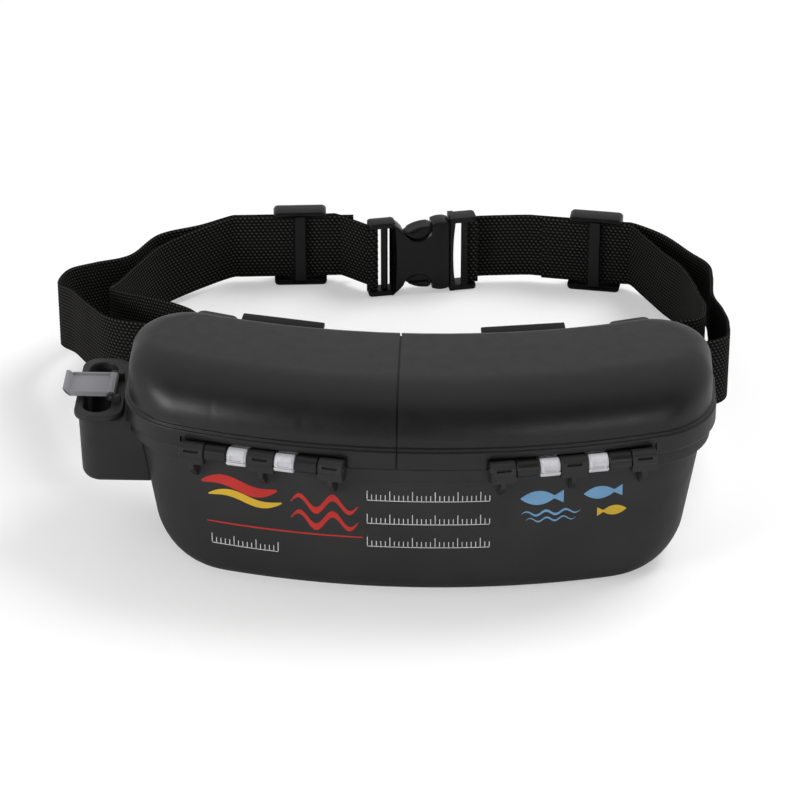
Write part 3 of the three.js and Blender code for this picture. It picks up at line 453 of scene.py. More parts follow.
def tinted(tree, shader, fac, dark, light):
    """Base colour mixed between two colours by a value."""
    mix = added(tree, "Mix", "Result", {"A": (*dark, 1), "B": (*light, 1), "Factor": fac},
                data_type="RGBA")
    feed(tree, shader, {"Base Color": mix})


def clouded(tree, shader, scale, colour):
    """Base colour with slight darker clouds."""
    dark = tuple(channel * CLOUD_SHARE for channel in colour)
    tinted(tree, shader, spread(tree, noise(tree, scale), 0, 1), dark, colour)


def moulded(name, dark, light, roughness, grain=0.02, specular=0.5):
    """Moulded plastic: slow clouds in its colour, finer ones in its gloss, and a spark-eroded
    grain and slight waviness in its surface."""
    material, tree, shader = node_material(name, light, sum(roughness) / 2, specular)
    tinted(tree, shader, spread(tree, noise(tree, 35), 0, 1), dark, light)
    feed(tree, shader, {"Roughness": spread(tree, noise(tree, 160, 6), *roughness)})
    wave = bumped(tree, shader, noise(tree, 22, 2), 0.3, 0.15)
    bumped(tree, shader, noise(tree, 2200, 3), grain, 1.0, wave)
    return material


def woven(name, dark, light):
    """Webbing: yarn crowns get painted light and the gaps painted shade; fibres run across the yarns."""
    material, tree, shader = node_material(name, light, 0.85, 0.03)
    weave_shade = added(tree, "Attribute", "Fac", {}, attribute_name="weave_shade")
    fray = noise(tree, 3800, 5)
    # Painted light and shade: the colour runs from painted shade in the gaps to painted light on the yarn
    # crowns.
    crest = added(tree, "Math", "Value", {0: weave_shade, 1: 2.0}, operation="POWER")
    painted_weave_light = added(tree, "Math", "Value", {0: crest, 1: spread(tree, fray, 0.55, 1.0)},
                  operation="MULTIPLY")
    tinted(tree, shader, painted_weave_light, dark, light)
    bumped(tree, shader, fray, 0.12, 0.7)
    return material


def frosted(name, colour):
    """Translucent plastic, slightly frosted and cloudy."""
    material, tree, shader = node_material(name, colour, 0.38)
    feed(tree, shader, {"Transmission Weight": 0.15, "IOR": 1.49})
    clouded(tree, shader, 240, colour)
    bumped(tree, shader, noise(tree, 900, 3), 0.06, 0.6)
    return material


def drawn_wire(name, colour):
    """Steel wire with drawing marks."""
    material, tree, shader = node_material(name, colour, 0.28)
    feed(tree, shader, {"Metallic": 1.0, "Roughness": spread(tree, noise(tree, 500), 0.2, 0.42)})
    bumped(tree, shader, noise(tree, 1500), 0.02, 0.5)
    return material


def ink(name, colour):
    """Printed ink: an even colour with slight clouds in its colour and gloss."""
    material, tree, shader = node_material(name, colour, 0.45, 0.3)
    clouded(tree, shader, 90, colour)
    feed(tree, shader, {"Roughness": spread(tree, noise(tree, 400), 0.4, 0.52)})
    return material


# The lids, tub and holder are one black plastic. The tub's and holder's copy has a lighter base colour:
# painted light on their walls.
BLACK = moulded("black_moulding", (0.004, 0.004, 0.004), (0.006, 0.006, 0.0058), (0.37, 0.45), 0.03)
LIGHTENED_TUB_BLACK = moulded("tub_moulding_lightened", (0.018, 0.018, 0.018), (0.024, 0.024, 0.0235), (0.42, 0.52),
                    specular=0.3)
FITTING_BLACK = moulded("fitting_moulding", (0.006, 0.006, 0.006), (0.009, 0.009, 0.009),
                        (0.34, 0.42), specular=0.3)
RED_INK = ink("red_ink", (0.5, 0.028, 0.022))
YELLOW_INK = ink("yellow_ink", (0.66, 0.42, 0.03))
WHITE_INK = ink("white_ink", (0.7, 0.7, 0.7))
BLUE_INK = ink("blue_ink", (0.16, 0.34, 0.55))
BUCKLE_BLACK = moulded("buckle_moulding", (0.005, 0.005, 0.0055), (0.0075, 0.0075, 0.008),
                       (0.28, 0.36), 0.008, 0.24)
GREY = moulded("grey_moulding", (0.195, 0.195, 0.208), (0.225, 0.225, 0.24), (0.42, 0.52))
# The webbing's light colour is painted light on the yarn crowns, and its dark colour is painted shade in
# the gaps.
WEBBING = woven("webbing", (0.0055, 0.0055, 0.0055), (0.14, 0.137, 0.125))
CLEAR = frosted("clear_moulding", (0.72, 0.72, 0.75))
STEEL = drawn_wire("pin_wire", (0.55, 0.55, 0.57))
SLOTS = {
    BLACK: "black_plastic", LIGHTENED_TUB_BLACK: "black_plastic", FITTING_BLACK: "black_plastic",
    BUCKLE_BLACK: "buckle_plastic", GREY: "grey_plastic", CLEAR: "clear_plastic",
    WEBBING: "webbing", STEEL: "pin_steel",
}


# The box's kidney-shaped form

CORNER_DRAW_SHARES = (0.7, 0.25, 0.35)


def arc(cx, cy, radius, start, end, steps):
    """Points on an arc, for every level at once: columns of x and y, one row for each level."""
    angle = start + (end - start) * np.arange(steps) / steps
    return np.stack([cx + radius * np.cos(angle), cy + radius * np.sin(angle)], -1)


def outline(levels):
    """Rings of the box's outline. Each level is (z, front, side, rear): the outline drawn in from
    the skirt by those amounts. A front arc and a rear arc bowed the same way are joined by round
    corners that touch both the arcs and the sides."""
    z, front, side, rear = (column[:, None] for column in np.asarray(levels, float).T)
    by_front, by_side, by_rear = CORNER_DRAW_SHARES
    half = BOX_WIDTH / 2 - side
    front_r = FRONT_ARC - front
    rear_r = REAR_ARC + rear
    corner_f = np.maximum(FRONT_CORNER - (front * by_front + side * by_side), LEAST_CORNER)
    corner_r = np.maximum(REAR_CORNER - side * by_rear, LEAST_CORNER)
    fx = half - corner_f
    fy = CENTRE_Y - np.sqrt((front_r - corner_f) ** 2 - fx ** 2)
    rx = half - corner_r
    ry = REAR_CENTRE_Y - np.sqrt((rear_r + corner_r) ** 2 - rx ** 2)
    front_turn = np.arctan2(fy - CENTRE_Y, fx)
    rear_turn = np.arctan2(REAR_CENTRE_Y - ry, -rx)
    rear_from = np.arctan2(ry - REAR_CENTRE_Y, rx)
    flat = np.concatenate([
        arc(0, CENTRE_Y, front_r, -math.pi - front_turn, front_turn, FRONT_STEPS),
        arc(fx, fy, corner_f, front_turn, 0, CORNER_STEPS),
        arc(rx, ry, corner_r, 0, rear_turn, CORNER_STEPS),
        arc(0, REAR_CENTRE_Y, rear_r, rear_from, -math.pi - rear_from, REAR_STEPS),
        arc(-rx, ry, corner_r, math.pi - rear_turn, math.pi, CORNER_STEPS),
        arc(-fx, fy, corner_f, math.pi, math.pi - front_turn, CORNER_STEPS),
    ], axis=1)
    return np.concatenate([flat, np.broadcast_to(z[:, None], (*flat.shape[:2], 1))], -1)


def loft(levels):
    return ring_solid(outline(levels))


def edge_profile(corners, radius):
    """Rows of (inset, z) up an edge of the box, round at the corners between its ends."""
    return rounded(corners, radius, 4, closed=False)


def even_levels(profile):
    """Levels drawn in alike all round, from (inset, z) rows."""
    return np.column_stack([profile[:, 1]] + [profile[:, 0]] * 3)


def crown_in(z, across, drop):
    """How far a quarter ellipse under the top has drawn in at height z."""
    rise = np.clip((z - (BOX_HEIGHT - drop)) / drop, 0, 1)
    return across * (1 - np.sqrt(1 - rise ** 2))


def crown_levels(wall):
    """Levels of the lid's dome, close together near the top, drawn in by a wall for its inside."""
    rise = np.sin(math.pi / 2 * np.arange(CROWN_STEPS + 1) / CROWN_STEPS)
    z = SHOULDER_Z + (BOX_HEIGHT - wall - SHOULDER_Z) * rise
    outer = z + wall * rise
    drops = ((CROWN_FRONT, BOX_HEIGHT - SHOULDER_Z), (CROWN_SIDE, CROWN_SIDE), (CROWN_REAR, CROWN_REAR))
    return np.column_stack([z] + [SHOULDER_IN + wall + crown_in(outer, across - wall, drop)
                                  for across, drop in drops])


def front_spot(x):
    angle = math.asin(x / FRONT_ARC)
    radius = FRONT_ARC + HINGE_OUT
    return radius * math.sin(angle), CENTRE_Y - radius * math.cos(angle), angle


def rear_spot(x, out=0.0):
    angle = math.asin(x / REAR_ARC)
    radius = REAR_ARC - out
    return radius * math.sin(angle), REAR_CENTRE_Y - radius * math.cos(angle), angle


def side_block(side, from_split):
    """The space on one side of the lids' parting line, a given distance from it."""
    return slab(*sorted((SPLIT_X + side * from_split, side * BOX_WIDTH)))


def hinge_bore():
    return bar(PIN_BORE, -HINGE_HALF - OVERRUN, HINGE_HALF + OVERRUN, 0, HINGE_Z, sides=BORE_SIDES)


# Lids

def half_dome(side):
    """The outside of one lid: half a dome of skirt, double ridge with soft edges, and crown. Over
    each tray rib the surface sinks by a shallow bell curve of x."""
    skirt_top = LID_BASE + SKIRT_HEIGHT
    ridge = [(LID_FOOT_IN, LID_BASE), (LID_CHAMFER, LID_BASE), (0, LID_BASE + LID_CHAMFER),
             (0, skirt_top), (RIDGE_IN, skirt_top), (RIDGE_IN, SHOULDER_Z),
             (SHOULDER_IN, SHOULDER_Z), (SHOULDER_IN, SHOULDER_Z + RIDGE_OVER)]
    crown = crown_levels(0)
    rings = outline(np.concatenate([even_levels(edge_profile(ridge, FORM_EDGE)),
                                    crown[crown[:, 0] > SHOULDER_Z + CROWN_FROM]]))
    sink = sum(np.exp(-(((rings[..., 0] - share * BOX_WIDTH / 2) / SINK_WIDTH) ** 2))
               for share in TRAY_RIB_SHARES)
    crowned = np.clip((rings[..., 2] - SHOULDER_Z) / SINK_FADE, 0, 1)
    inwards = np.where(rings[..., 1] < FRONT_Y + BOX_DEPTH / 2, 1, -1)
    rings[..., 1] += SINK_DEPTH * sink * crowned * inwards
    return meet(ring_solid(rings), side_block(side, SPLIT_GAP / 2))


def lid_hollow(side):
    """The inside of one lid, wider below the tray's seat."""
    lower = [(LID_BASE - OVERRUN, *[SKIRT_WALL] * 3), (TRAY_SEAT, *[SKIRT_WALL] * 3),
             (TRAY_SEAT, *[SHOULDER_IN + LID_WALL] * 3)]
    inside = loft(np.concatenate([lower, crown_levels(LID_WALL)]))
    return meet(inside, side_block(side, SPLIT_GAP / 2 + LID_WALL))


def tongue():
    """The left lid's thin tongue in the parting gap, drawn in from the dome."""
    dome = np.concatenate([[(LID_BASE, *[TONGUE_IN] * 3)], crown_levels(TONGUE_IN)])
    far = SPLIT_X + SPLIT_GAP / 2 - TONGUE_CLEAR
    return meet(loft(dome), slab(SPLIT_X - SPLIT_GAP, far, 0, BOX_HEIGHT))


def lid_piece(word, side, hinge, latch):
    """A lid: the dome's half, hollowed, with tray ribs, hinge pocket, knuckles and latch ears."""
    lid = half_dome(side)
    ear_at = LATCH_W / 2 + RUNNING_GAP
    for s in (-1, 1):
        low, high = mirrored(s, ear_at, ear_at + LATCH_EAR)
        ear = block(low, high, -LATCH_PIVOT_OUT - LATCH_EAR_IN, 0, LATCH_Z - LATCH_BARREL,
                    LATCH_Z + LATCH_BARREL)
        join(lid, *all_at(latch, bar(LATCH_BARREL, low, high, 0, LATCH_Z), ear))
    cut(lid, lid_hollow(side))
    if side < 0:
        join(lid, tongue())
    for share in TRAY_RIB_SHARES:
        x = share * BOX_WIDTH / 2
        if (x - SPLIT_X) * side > 0:
            rib = slab(x - TRAY_RIB / 2, x + TRAY_RIB / 2, TRAY_SEAT, BOX_HEIGHT)
            join(lid, meet(rib, lid_hollow(side)))
    pocket = block(-NOTCH_HALF - POCKET_WALL, NOTCH_HALF + POCKET_WALL, -OVERRUN,
                   NOTCH_BACK + POCKET_WALL, LID_BASE, NOTCH_TOP + POCKET_WALL)
    join(lid, meet(placed(pocket, hinge), half_dome(side)))
    cut(lid, placed(block(-NOTCH_HALF, NOTCH_HALF, -KNUCKLE_R * 4, NOTCH_BACK,
                          LID_BASE - OVERRUN, NOTCH_TOP), hinge))
    for s in (-1, 1):
        low, high = mirrored(s, LID_KNUCKLE_AT, LID_KNUCKLE_AT + LID_KNUCKLE)
        web = block(low, high, 0, NOTCH_BACK + POCKET_WALL / 2, LID_BASE, HINGE_Z + KNUCKLE_R / 2)
        join(lid, *all_at(hinge, bar(KNUCKLE_R, low, high, 0, HINGE_Z), web))
        low, high = mirrored(s, COVER_KNUCKLE_AT - SIDE_GAP, COVER_KNUCKLE_AT + COVER_KNUCKLE + SIDE_GAP)
        cut(lid, placed(block(low, high, 0, NOTCH_BACK + POCKET_WALL + OVERRUN, LID_BASE - OVERRUN,
                              NOTCH_TOP), hinge))
    bore = bar(LATCH_BORE, -ear_at - OVERRUN, ear_at + OVERRUN, 0, LATCH_Z, sides=BORE_SIDES)
    cut(lid, placed(hinge_bore(), hinge), placed(bore, latch))
    return finished(lid, f"lid_shell_{word}", BLACK, f"lid_{word}")


# Tub

def wall_levels(inset, floor):
    """Levels of the tub's leaning wall over its rounded foot, drawn in by a wall for its inside: a
    quarter circle draws the foot in by radius - sqrt(radius^2 - (radius - rise)^2)."""
    turn = np.arange(FOOT_STEPS + 1) / FOOT_STEPS
    side_r = FOOT_RADII[1] - inset
    rise = np.concatenate([side_r * (1 - np.cos(math.pi / 2 * turn)), [LEDGE_Z - floor]])
    z = floor + rise
    levels = [z]
    for (foot, head), foot_r in zip(WALLS_IN, FOOT_RADII):
        radius = foot_r - inset
        below = np.clip(radius - rise, 0, None)
        foot_in = radius - np.sqrt(np.maximum(radius ** 2 - below ** 2, 0))
        levels.append(foot + (head - foot) * z / LEDGE_Z + inset + foot_in)
    return np.column_stack(levels)


def band_levels():
    """The thick band under the rim, with soft edges."""
    corners = [(BAND_UNDER, LEDGE_Z), (0, LEDGE_Z), (0, RIM_Z), (BAND_TOP_IN, RIM_Z)]
    inset, z = edge_profile(corners, FORM_EDGE).T
    return np.column_stack([z, inset + BAND_IN_FRONT, inset + BAND_IN_SIDE, inset + BAND_IN_FRONT])


def tub_hollow(clear=0.0):
    levels = wall_levels(TUB_WALL + clear, TUB_FLOOR + clear)
    above = levels[-1:].copy()
    above[:, 0] = RIM_Z + OVERRUN
    return loft(np.concatenate([levels, above]))


def tub_knuckle(middle, half):
    """A tub knuckle: a barrel on a shelf of the front wall, with a narrow tapering rib below it
    and a slot moulded in its face. Shelf and rib are drawn in YZ."""
    low, high = middle - half, middle + half
    shelf = prism([(SHELF_IN, SHELF_FOOT), (SHELF_IN, RIM_Z), (-SHELF_FRONT, RIM_Z),
                   (-SHELF_FRONT, RIM_Z - SHELF_LIP), (HINGE_OUT * 2, SHELF_FOOT)],
                  low, high, "x", soft=0.3)
    rib = prism([(SHELF_IN, RIB_FOOT), (SHELF_IN, RIB_TOP), (-SHELF_FRONT, RIB_TOP),
                 (-SHELF_FRONT, RIB_TOP - SHELF_LIP), (HINGE_OUT * 3, RIB_FOOT)],
                middle - RIB_W / 2, middle + RIB_W / 2, "x", soft=0.3)
    slot_z = HINGE_Z + KNUCKLE_SLOT_UP
    slot = rounded_box(middle - KNUCKLE_SLOT_W / 2, middle + KNUCKLE_SLOT_W / 2, slot_z,
                       slot_z + KNUCKLE_SLOT_HEIGHT, KNUCKLE_SLOT_CORNER)[:, ::-1]
    knuckle = join(shelf, rib, bar(KNUCKLE_R, low, high, 0, HINGE_Z))
    return cut(knuckle, prism(slot, -KNUCKLE_R * 2, KNUCKLE_SLOT_DEPTH - KNUCKLE_R, "y"))


def rack_guides(x):
    """A pair of upright ribs on the front and rear walls that a hook rack slides down between."""
    for side in (-1, 1):
        guide = slab(*sorted((x + side * RACK_LANE, x + side * (RACK_LANE + GUIDE_T))), 0, RACK_HEIGHT)
        yield cut(meet(guide, tub_hollow(-WALL_OVERLAP)), tub_hollow(GUIDE_DEPTH))


def tub_piece(hinges):
    """The tub: band and leaning walls over a rounded foot, hollowed, with its middle wall."""
    tub = loft(np.concatenate([wall_levels(0, 0), band_levels()]))
    end_half = END_KNUCKLE / 2
    end_middle = END_KNUCKLE_AT + end_half
    near, far = COVER_KNUCKLE_AT - SIDE_GAP, COVER_KNUCKLE_AT + COVER_KNUCKLE + SIDE_GAP
    for hinge in hinges:
        channels = [bar(CLIP_REACH + SIDE_GAP, *mirrored(s, near, far), 0, HINGE_Z, chamfer=BARE_CHAMFER)
                    for s in (-1, 1)]
        cut(tub, *all_at(hinge, bar(KNUCKLE_R + SIDE_GAP, -END_KNUCKLE_AT, END_KNUCKLE_AT, 0, HINGE_Z,
                                    chamfer=BARE_CHAMFER), *channels))
        join(tub, *all_at(hinge, tub_knuckle(0, CENTRE_KNUCKLE_HALF), tub_knuckle(end_middle, end_half),
                          tub_knuckle(-end_middle, end_half)))
    cut(tub, tub_hollow())
    middle = slab(SPLIT_X - CENTRE_WALL / 2, SPLIT_X + CENTRE_WALL / 2, 0, LEDGE_Z)
    join(tub, meet(middle, tub_hollow(-WALL_OVERLAP)))
    for x in RACK_X:
        join(tub, *rack_guides(x))
    cut(tub, *[placed(hinge_bore(), hinge) for hinge in hinges])
    return finished(tub, "tub_shell", LIGHTENED_TUB_BLACK, "tub", "box")


def clear_of_tub(with_band):
    """The tub's outside, larger by the running gap, to cut what stands against it."""
    z = np.array([-OVERRUN, LEDGE_Z - with_band * RUNNING_GAP])
    levels = np.column_stack([z] + [foot + (head - foot) * z / LEDGE_Z - RUNNING_GAP
                                    for foot, head in WALLS_IN])
    if with_band:
        band = [inset - RUNNING_GAP for inset in (BAND_IN_FRONT, BAND_IN_SIDE, BAND_IN_FRONT)]
        levels = np.concatenate([levels, [[z[1], *band], [BOX_HEIGHT, *band]]])
    return loft(levels)


# Latches

LATCH_FROM_SPLIT = 56.3
LATCH_W = 38.4
LATCH_T = 2.4
LATCH_FACE_OUT = 1.2
LATCH_NOSE_OUT = 0.4
LATCH_NOSE_HEIGHT = 3
LATCH_DROP = 23.5
LATCH_RISE = 12.6
LATCH_BEND_SHARES = (0.72, 0.9)
LATCH_LIP_OUT = 11
LATCH_LIP_T = 2.2
LATCH_LIP_ROLL = 0.9
LATCH_RIB_T = 1.6
LATCH_RIB_SUNK = (0.6, 0.3, 0.1)
LATCH_PIVOT_OUT = 4.8
LATCH_Z = 80
LATCH_BARREL = 2.9
LATCH_BORE = 1.5
LATCH_EAR = 3
LATCH_EAR_IN = 9


def latch_piece(word, spot):
    """A rear latch, drawn in YZ from its pivot: a plate down to the rim with a nose, and a finger
    lip that sweeps out above, closed at both ends by a rib and carried on a barrel."""
    face = LATCH_FACE_OUT - LATCH_PIVOT_OUT
    back = face + LATCH_T
    tip = LATCH_LIP_OUT - LATCH_PIVOT_OUT
    nose = LATCH_NOSE_OUT - LATCH_PIVOT_OUT
    under_bend, over_bend = (LATCH_RISE * share for share in LATCH_BEND_SHARES)
    under = curve((back, 0), (back, under_bend), (tip, LATCH_RISE - LATCH_LIP_T))
    over = curve((tip, LATCH_RISE), (face, over_bend), (face, 0))
    roll = curve(under[-1], (tip + LATCH_LIP_ROLL, LATCH_RISE - LATCH_LIP_T / 2), over[0], 6)
    section = np.concatenate([[(nose, LATCH_NOSE_HEIGHT - LATCH_DROP), (face, -LATCH_DROP),
                               (back, -LATCH_DROP)], under, roll[1:-1], over,
                              [(face, LATCH_NOSE_HEIGHT + LATCH_T - LATCH_DROP)]])
    half = LATCH_W / 2
    latch = prism(section, -half, half, "x", soft=0.45)
    in_back, in_lip, in_end = LATCH_RIB_SUNK
    rib = np.concatenate([[(back - in_back, -LATCH_BARREL), (LATCH_BARREL, -LATCH_BARREL)],
                          under[::-1] - [in_lip, 0]])
    join(latch, *[prism(rib, *mirrored(s, half - LATCH_RIB_T, half - in_end), "x", soft=0.2)
                  for s in (1, -1)], bar(LATCH_BARREL, -half, half, 0, 0))
    cut(latch, bar(LATCH_BORE, -LATCH_W, LATCH_W, 0, 0, sides=BORE_SIDES))
    return finished(placed(latch, spot, LATCH_Z), f"latch_{word}_body", FITTING_BLACK, f"latch_{word}")


# Inner covers

COVER_Z = 68.6
COVER_T = 1.6
COVER_GAP = 0.5
COVER_EDGE = 0.3
COVER_ARM_Z = 67.4
COVER_ARM_IN = 10
COVER_ARM_CORNER = 0.8
COVER_TAB_W = 14
COVER_TAB_DEPTH = 4
COVER_TAB_DROP = 2.4
COVER_TAB_IN = 9
COVER_TAB_CORNER = 1.0
CLIP_NARROW = 0.8
CLIP_REACH = 4.75
CLIP_BARREL = KNUCKLE_R * 0.92
CLIP_FRONT = 3.9
CLIP_UPPER = ((0, -1.4), (-CLIP_FRONT, -1.4), (-CLIP_FRONT, 1.9), (-2.6, 3.7), (0, 3.9))
CLIP_UPPER_RADII = (0, 0, 0.8, 1.2, 0)
CLIP_LIP_FRONT = CLIP_FRONT + 0.6
CLIP_LIP = ((0, -1.2), (-CLIP_LIP_FRONT, -1.2), (-CLIP_LIP_FRONT, -2.2), (-3.0, -3.7), (0, -3.9))
CLIP_LIP_RADII = (0, 0, 0.6, 0.9, 0)
CLIP_PANEL = (-0.7, 2.0)
CLIP_PANEL_IN = 1.7
CLIP_PANEL_CORNER = 0.5
CLIP_PANEL_DEPTH = 0.45


def clip(low, high):
    """A cover's hinge foot: a barrel whose front is moulded as a clip, a narrower upper plate with
    a sunk panel over a wider rounded lip. Both are drawn in YZ from the pin."""
    foot = bar(CLIP_BARREL, low, high, 0, 0)
    join(foot, prism(rounded(CLIP_UPPER, CLIP_UPPER_RADII), low + CLIP_NARROW, high - CLIP_NARROW, "x",
                     soft=0.3),
         prism(rounded(CLIP_LIP, CLIP_LIP_RADII), low, high, "x", soft=0.5))
    cut(foot, plate(*CLIP_PANEL, low + CLIP_PANEL_IN, high - CLIP_PANEL_IN, CLIP_PANEL_CORNER,
                    -KNUCKLE_R * 2, CLIP_PANEL_DEPTH - CLIP_FRONT, "y"))
    return reshaped(foot, lambda points: points + [0, 0, HINGE_Z])


def cover_piece(word, side, hinge):
    """A tray's inner cover: a thin plate under the lid, two hinge feet and a snap tab."""
    edge = SKIRT_WALL + COVER_GAP
    top = COVER_Z + COVER_T
    corners = [(edge + COVER_EDGE, COVER_Z), (edge, COVER_Z), (edge, top), (edge + COVER_EDGE, top)]
    cover = meet(loft(even_levels(edge_profile(corners, COVER_EDGE))),
                 side_block(side, SPLIT_GAP / 2 + LID_WALL + COVER_GAP))
    pocket = NOTCH_HALF + POCKET_WALL + COVER_GAP
    cut(cover, placed(block(-pocket, pocket, -BOX_DEPTH, NOTCH_BACK + POCKET_WALL + COVER_GAP, 0,
                            BOX_HEIGHT), hinge))
    for s in (-1, 1):
        low, high = mirrored(s, COVER_KNUCKLE_AT, COVER_KNUCKLE_AT + COVER_KNUCKLE)
        arm = plate(low, high, 0, NOTCH_BACK + POCKET_WALL + COVER_ARM_IN, COVER_ARM_CORNER, COVER_ARM_Z,
                    top, soft=0.3)
        join(cover, *all_at(hinge, arm, clip(low, high)))
    tab = plate(-COVER_TAB_W / 2, COVER_TAB_W / 2, -COVER_TAB_IN - COVER_TAB_DEPTH, -COVER_TAB_IN,
                COVER_TAB_CORNER, COVER_Z - COVER_TAB_DROP, top, soft=0.4)
    join(cover, placed(tab, rear_spot(SPLIT_X + side * LATCH_FROM_SPLIT)))
    cut(cover, placed(hinge_bore(), hinge))
    return finished(cover, f"inner_cover_{word}_moulding", CLEAR, f"inner_cover_{word}")


# Belt posts

POST_X = 100
POST_OUT = 14
POST_W = 14
POST_T = 5
POST_CORNER = 1.5
POST_BASE = 37
POST_IN = 10
POST_ARM = 8
POST_TOP = 82.5
POST_CAP_T = 3
POST_CAP_OVER = 3
POST_CAP_CORNER = 3.5


def post_piece(word, side):
    """A post that a strap turns round: an arm out of the rear wall, a round-edged bar and a cap."""
    half, thin = POST_W / 2, POST_T / 2
    wide, thick = half + POST_CAP_OVER, thin + POST_CAP_OVER
    post = plate(-half, half, -POST_IN, POST_OUT, POST_CORNER, POST_BASE, POST_BASE + POST_ARM,
                 soft=0.8)
    join(post, plate(-half, half, POST_OUT - thin, POST_OUT + thin, thin * ROUND_SHARE, POST_BASE,
                     POST_TOP + POST_CAP_T / 2, soft=0.5),
         plate(-wide, wide, POST_OUT - thick, POST_OUT + thick, POST_CAP_CORNER, POST_TOP,
               POST_TOP + POST_CAP_T, soft=0.9))
    cut(placed(post, rear_spot(side * POST_X)), clear_of_tub(False))
    return finished(post, f"belt_post_{word}_moulding", FITTING_BLACK, f"belt_post_{word}", "box")


# Pliers holder and its lock

HOLDER_X = (-155.5, -133.2)
HOLDER_Y = (-5, 49)
HOLDER_FLANGE_Z = 65
HOLDER_FLANGE_T = 3
HOLDER_OVER = 1.5
HOLDER_IN_X = -113.5
HOLDER_FOOT_Z = 31.5
HOLDER_CORNER = 8
HOLDER_CORNER_MORE = 1.5
HOLDER_TAPER = 0.8
HOLDER_FOOT_R = 5
HOLDER_CHAMFER = 2.6
HOLDER_SUNK = 0.9
SOCKET_X = -151.7
SOCKET_W = 12.5
SOCKET_Y = (-0.5, 44.5)
SOCKET_FLARE = ((0, -0.7), (-0.25, -0.2), (-0.9, 0.4))
LOCK_Y = 19
LOCK_W = 17.6
LOCK_T = 1.8
LOCK_CORNER = 0.6
LOCK_PIVOT_X = -139.6
LOCK_PIVOT_Z = 70.6
LOCK_REACH = 18.8
LOCK_END = 1.6
LOCK_RIM_T = 1.1
LOCK_RIM_HEIGHT = 1.0
LOCK_RIM_CORNER = 0.4
LOCK_RIM_SUNK = 0.2
LOCK_LIP_IN = 0.6
LOCK_LIP_RISE = 2.0
LOCK_LIP_OUT = 1.4
LOCK_LIP_RADII = (0.2, 0.8, 0.8, 0.8, 1.4)
LOCK_BARREL = 2.1
LOCK_EAR_BARREL = LOCK_BARREL * 0.85
LOCK_BORE = 1.1
LOCK_EAR_T = 2.2
LOCK_EAR_W = 4
LOCK_EAR_IN = 0.6
LOCK_EAR_UP = 0.8
LOCK_EAR_CORNER = 0.6


def lock_bar(radius, low, high, sides=40):
    """A round bar along y on the lock's pin."""
    return bar(radius, low, high, LOCK_PIVOT_Z, LOCK_PIVOT_X, "y", sides)


def lock_bore():
    return lock_bar(LOCK_BORE, -BOX_WIDTH, BOX_WIDTH, BORE_SIDES)


def holder_piece():
    """The pliers holder: a flange round a long socket, over a body that tapers downwards to a
    rounded foot, cut to the tub's side. The body's outline is drawn in by the taper's share of the
    way down, and by a quarter circle near the foot."""
    mouth = HOLDER_FLANGE_Z + HOLDER_FLANGE_T
    flange = prism(rounded_box(*HOLDER_X, *HOLDER_Y, HOLDER_CORNER, 12), HOLDER_FLANGE_Z, mouth, soft=0.8)
    turn = np.linspace(0, math.pi / 2, 9)
    height = HOLDER_FLANGE_Z - HOLDER_FOOT_Z
    rise = np.concatenate([HOLDER_FOOT_R * (1 - np.cos(turn)),
                           [height - HOLDER_CHAMFER, height + HOLDER_SUNK]])
    foot = np.concatenate([HOLDER_FOOT_R * (1 - np.sin(turn)), [0, -HOLDER_OVER]])
    inset = HOLDER_TAPER * (1 - rise / rise[-1]) + foot
    body = rounded_box(HOLDER_X[0] + HOLDER_OVER, HOLDER_IN_X, HOLDER_Y[0] + HOLDER_OVER,
                       HOLDER_Y[1] - HOLDER_OVER, HOLDER_CORNER + HOLDER_CORNER_MORE, 12)
    holder = join(flange, tapered(body, zip(inset, HOLDER_FOOT_Z + rise)))
    cut(holder, clear_of_tub(True))
    slot = rounded_box(SOCKET_X, SOCKET_X + SOCKET_W, *SOCKET_Y, SOCKET_W / 2 * ROUND_SHARE, 14)
    flare = [(0, HOLDER_FOOT_Z - OVERRUN), *[(inset, mouth + up) for inset, up in SOCKET_FLARE]]
    cut(holder, tapered(slot, flare))
    ear_at = LOCK_W / 2 + RUNNING_GAP
    ear_x = LOCK_PIVOT_X + LOCK_EAR_IN
    for y in (LOCK_Y + ear_at, LOCK_Y - ear_at - LOCK_EAR_T):
        web = plate(HOLDER_FLANGE_Z, LOCK_PIVOT_Z + LOCK_EAR_UP, ear_x, ear_x + LOCK_EAR_W,
                    LOCK_EAR_CORNER, y, y + LOCK_EAR_T, "y", soft=0.3)
        join(holder, lock_bar(LOCK_EAR_BARREL, y, y + LOCK_EAR_T), web)
    cut(holder, lock_bore())
    return finished(holder, "pliers_holder_moulding", LIGHTENED_TUB_BLACK, "pliers_holder", "box")


